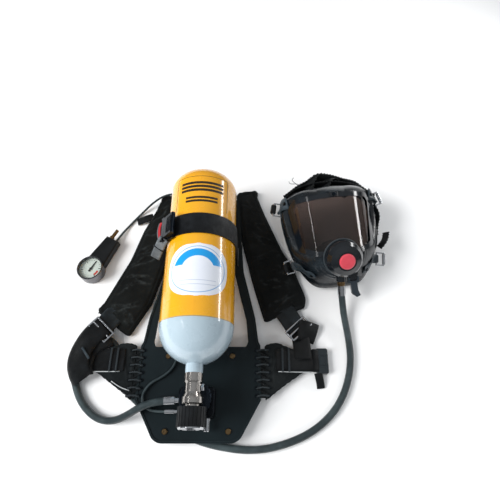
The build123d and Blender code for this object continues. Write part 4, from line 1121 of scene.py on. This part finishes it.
STRAP_END_REACH = 0.0175
STRAP_ENDS = {"temple_left": ((-0.104, 0.074, 0.008), 165), "cheek_left": ((-0.094, -0.052, 0.008), 190)}
PORT_HIGHLIGHT_RING = mm([(37.2, 7.5), (38.8, 7), (39.8, 8.2), (39.6, 10), (38.2, 10.8), (37.1, 10.4), (37.2, 7.5)])
COVER_RING = mm([(30, 26.2), (37.2, 26.2), (37.6, 27.2), (36.6, 28.4), (33, 28.8), (30, 26.2)])


def mask_trim():
    """The brow clip on the visor frame, rings round the port and the valve, and strap ends at the loops; the
    port's ring is lighter grey as a painted highlight on the valve housing's rim.
    """
    brow = block("brow_clip", at(in_mask(0, 0.084, 0.0745), mask_x, mask_z), (0.017, 0.011, 0.0060), 0.0016)
    dress(brow, "frame")
    screw = lathe("brow_screw", RIVET, at(in_mask(0, 0.084, 0.0772), mask_x, mask_z), 16)
    dress(screw, "dark_metal")
    # Lighter grey ring: painted highlight along the rim of the valve housing.
    dress(lathe("port_highlight_ring", PORT_HIGHLIGHT_RING, in_valve, 64), "grey_plastic")
    dress(lathe("cover_ring", COVER_RING, in_valve, 64), "valve")
    for name, (place, facing) in STRAP_ENDS.items():
        out = mask_x * cos(radians(facing)) + mask_y * sin(radians(facing))
        stub = block("strap_end_" + name, at(in_mask(*place) + out * STRAP_END_REACH, out, mask_z),
                     (0.0120, 0.0215, 0.0105), 0.0038, 4)
        corner, side = name.split("_")
        dress(stub, "harness", f"{corner}_loop_{side}")
    end = mm([(100, -34, 15), (109, -25, 18), (117, -15, 15), (123, -2, 10)])
    mask_ribbon("strap_end_cheek_right", end, (0.5, -0.3, 0.8), 0.014, per_span=16, teeth=0.0015)


# ---------------------------------------------------------------- print on the cylinder, and the strap's tail


def on_cylinder(arc, y, lift):
    """A place on the cylinder: arc is the distance round it from the top."""
    reach = CYLINDER_RADIUS + lift
    turn = arc / CYLINDER_RADIUS
    return Vector((reach * sin(turn), y, AXIS_Z + reach * cos(turn)))


def decal(name, low, high, half_width, material, lift=0.00012, middle=0.0):
    """A thin print or label wrapped on the cylinder; half_width(share) gives its width along its length."""
    rows, columns = 48, 24
    verts, uv = [], []
    for i in range(rows + 1):
        share = i / rows
        y = low + (high - low) * share
        for k in range(columns + 1):
            arc = middle + half_width(share) * (2 * k / columns - 1)
            verts.append(on_cylinder(arc, y, lift))
            uv.append((arc - middle, y - (low + high) / 2))
    sheet = face_outwards(mesh_piece(name, verts, quads(rows + 1, columns + 1), uv=uv))
    dress(sheet, material)


def rounded_label(share):
    """Half the label's width, as a share of its length: a rounded oblong."""
    power = 2.5
    return 0.0610 * max(1e-4, 1 - abs(2 * share - 1) ** power) ** (1 / power)


# The printed frame on the cylinder: its lines, and inside it bars in place of the text
PRINT_LOW, PRINT_HIGH = 0.290, 0.3655
PRINT_LEFT, PRINT_RIGHT = -0.053, 0.060
PRINT_LINE = 0.00055
PRINT_ROWS = mm([(347, 5.8, 45), (338.2, 5.8, 45), (329.4, 5.8, 45), (312, 5, 33), (304, 5, 33)])


def cylinder_print():
    decal("cylinder_label", 0.107, 0.212, rounded_label, "label", 0.00025, 0.004)
    middle, half = (PRINT_LEFT + PRINT_RIGHT) / 2, (PRINT_RIGHT - PRINT_LEFT) / 2
    decal("print_top", PRINT_HIGH, PRINT_HIGH + 0.0009, lambda share: half, "ink", middle=middle)
    for name, arc in (("left", PRINT_LEFT), ("right", PRINT_RIGHT)):
        decal("print_" + name, PRINT_LOW, PRINT_HIGH, lambda share: PRINT_LINE, "ink", middle=arc)
    for row, (y, tall, reach) in enumerate(PRINT_ROWS):
        decal(f"print_row_{row}", y, y + tall, lambda share: reach, "ink", middle=middle)


LEVER_RIBS = 5


def strap_tail():
    """The loose tail of the cylinder strap, the red and white stripe beside it, and the ribs of its lever."""
    tail = mm([(-68, 233, 150), (-77.5, 226.5, 135), (-87, 220, 116.5), (-94.5, 214.5, 100)])
    webbing_band("cylinder_strap_tail", tail, (-0.59, 0.35, 0.22), 0.020, "tail", waves=0.003, seed=31)
    place = at((-0.0832, 0.2235, 0.1258), (-0.59, 0.35, 0.22), (0.1, -0.4, 0.9))
    dress(block("strap_tail_keeper", place, (0.023, 0.0036, 0.0042), 0.0010), "frame")
    stripe = mm([(-84.5, 286, 120), (-87, 276, 118), (-87.5, 265, 116), (-86, 254, 114)])
    webbing_band("strap_stripe_red", stripe, (0.8, 0, 0.6), 0.0070, "red_thread", thickness=0.0014)
    lower = [(x - 0.0040, y, z - 0.0030) for x, y, z in stripe]
    webbing_band("strap_stripe_grey", lower, (0.8, 0, 0.6), 0.0026, "tail", thickness=0.0014)
    face = Vector((-0.0641, 0.2550, 0.1630))
    along, out = Vector((0.616, 0, 0.788)), Vector((-0.788, 0, 0.616))
    for k in range(LEVER_RIBS):
        place = at(face + along * (0.0025 + 0.0036 * k) + out * 0.0004, (0, 1, 0), out)
        rib = block(f"strap_lever_rib_{k}", place, (0.034, 0.0018, 0.0018), 0.0006)
        dress(rib, "dark_metal", "strap_lever")


# ---------------------------------------------------------------- stage, lights and camera


def stage():
    corners = [(-6, -6, 0), (6, -6, 0), (6, 6, 0), (-6, 6, 0)]
    floor = mesh_piece("floor", corners, [(0, 1, 2, 3)], smooth=False)
    floor.data.materials.append(Shader("pale_floor", (0.92, 0.92, 0.92), 0.7).material)


def softbox(name, place, target, size, power, mirrored=True):
    """A rectangular light; with mirrored off it lights the set but is not seen in glossy surfaces."""
    data = bpy.data.lights.new(name, "AREA")
    data.shape = "RECTANGLE"
    data.size, data.size_y = size
    data.energy = power
    light = new_object(name, data)
    light.location = place
    light.rotation_euler = (Vector(target) - Vector(place)).to_track_quat("-Z", "Y").to_euler()
    light.visible_glossy = mirrored
    light.visible_transmission = mirrored
    light.visible_camera = False


def lighting():
    """A studio dome, brighter overhead, a large key at the left, thin strips that glint, and a front fill."""
    world = bpy.data.worlds.new("studio")
    bpy.context.scene.world = world
    world.use_nodes = True
    tree = world.node_tree
    background = next(n for n in tree.nodes if n.type == "BACKGROUND")
    background.inputs["Color"].default_value = (0.92, 0.96, 1.0, 1)
    direction = tree.nodes.new("ShaderNodeTexCoord")
    height = tree.nodes.new("ShaderNodeSeparateXYZ")
    brightness = tree.nodes.new("ShaderNodeMapRange")
    for socket, number in zip(("From Min", "From Max", "To Min", "To Max"), (0.0, 1.0, 0.12, 0.44)):
        brightness.inputs[socket].default_value = number
    tree.links.new(direction.outputs["Generated"], height.inputs[0])
    tree.links.new(height.outputs["Z"], brightness.inputs["Value"])
    tree.links.new(brightness.outputs["Result"], background.inputs["Strength"])
    softbox("key_left", (-4.80, -0.75, 3.75), (0, 0.15, 0.05), (3.6, 3.6), 560, mirrored=False)
    softbox("glint_left", (-0.76, 0.0, 1.19), (0.23, 0.29, 0.11), (0.7, 0.02), 0.55)
    softbox("window_right", (1.12, 0.70, 0.45), (0.045, 0.15, 0.15), (0.85, 0.12), 4.6)
    softbox("front_fill", (0.2, -1.7, 1.4), (0, 0.1, 0.05), (1.2, 0.4), 8, mirrored=False)
    bpy.context.scene.view_settings.view_transform = "Standard"
    bpy.context.scene.view_settings.look = "None"


def camera():
    data = bpy.data.cameras.new("camera")
    data.lens = CAMERA_LENS
    data.sensor_width = SENSOR_WIDTH
    data.sensor_fit = "HORIZONTAL"
    data.clip_start = 0.02
    data.clip_end = 50
    view = new_object("camera", data)
    view.location = CAMERA_PLACE
    view.rotation_euler = (radians(CAMERA_PITCH), 0, 0)
    bpy.context.scene.camera = view


# ---------------------------------------------------------------- hoses


def hose(name, route, diameter):
    """A round hose as one NURBS curve whose control points are the route."""
    data = bpy.data.curves.new(name, "CURVE")
    data.dimensions = "3D"
    data.bevel_depth = diameter / 2
    data.bevel_resolution = 5
    data.use_fill_caps = True
    spline = data.splines.new("NURBS")
    spline.points.add(len(route) - 1)
    for point, place in zip(spline.points, route):
        point.co = (*place, 1)
    spline.order_u = 3
    spline.use_endpoint_u = True
    spline.resolution_u = 8
    return dress(new_object(name, data), "hose")


def hoses():
    medium = hose("medium_pressure_line", MEDIUM_HOSE_ROUTE, MEDIUM_HOSE_DIAMETER)
    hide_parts("medium_pressure_hose")
    gauge = hose("gauge_line", GAUGE_HOSE_ROUTE, GAUGE_HOSE_DIAMETER)
    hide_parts("gauge_hose")


# ---------------------------------------------------------------- CAD nodes that stay as they are

# For each material the nodes that have it, with the width in millimetres by which their edges are softened
CAD_FINISH = {
    "composite": {"backplate": 1.2},
    "amber": {"cylinder_shell": 0},
    "strap": {"cylinder_strap": 0.6},
    "dark_metal": {"strap_buckle_frame": 0.6, "strap_buckle_lever": 0.6, "hand_nut": 0.5},
    "satin": {"valve_body": 0.6},
    "chrome": {
        "strap_buckle_pin": 0.3, "burst_disc_plug": 0.3, "handwheel_hub": 0.5, "relief_valve": 0.4,
        "hose_ferrules": 0.6, "waist_buckle_tongue": 0.5, "slide_buckle_left": 0, "slide_buckle_right": 0,
        "temple_loop_left": 0, "temple_loop_right": 0, "cheek_loop_left": 0, "cheek_loop_right": 0,
    },
    "brass": {"plate_screws": 0.3, "valve_plug": 0, "reducer_piston": 0, "whistle": 0.3, "inlet_swivel": 0.4},
    "reducer": {"reducer_body": 0.6, "reducer_cap": 0.5},
    "steel": {"reducer_spring": 0},
    "gauge_metal": {"gauge_case": 0.4},
    "grip": {"handwheel_grip": 0.6},
    "boot": {"gauge_boot": 1.5},
    "dial": {"gauge_dial": 0},
    "needle": {"gauge_needle": 0},
    "lens": {"gauge_lens": 0},
    "buckle": {"waist_buckle_socket": 0.8, "waist_buckle_button": 0.5},
    "mask": {"mask_facepiece": 0},
    "visor": {"mask_visor": 0},
    "frame": {"visor_frame": 0.8},
    "silicone": {"oronasal_cup": 0, "exhalation_disc": 0, "demand_valve_diaphragm": 0},
    "harness": {"head_harness": 0},
    "grey_plastic": {"mask_buckle_clips": 0.8},
    "valve": {"demand_valve_housing": 1.0, "demand_valve_cover": 0.6},
    "button": {"demand_valve_button": 0.5},
    "lever": {"demand_valve_lever": 1.0},
}


def finish_cad_nodes():
    """Each carried-over node gets its material and softened edges."""
    for material, softened in CAD_FINISH.items():
        for name, bevel in softened.items():
            piece = nodes[name]
            piece.data.materials.clear()
            piece.data.materials.append(MATERIALS[material])
            if bevel:
                soft = piece.modifiers.new("soft_edges", "BEVEL")
                soft.width = mm(bevel)
                soft.segments = 2
                soft.limit_method = "ANGLE"
                soft.angle_limit = radians(35)
                soft.harden_normals = False


camera()
hoses()
finish_cad_nodes()
facepiece()
lugs()
head_harness()
mask_trim()
cylinder_print()
strap_tail()
shoulder_pads()
back_pads()
waist_pads()
shoulder_straps()
waist_belt()
lacing()
stage()
lighting()
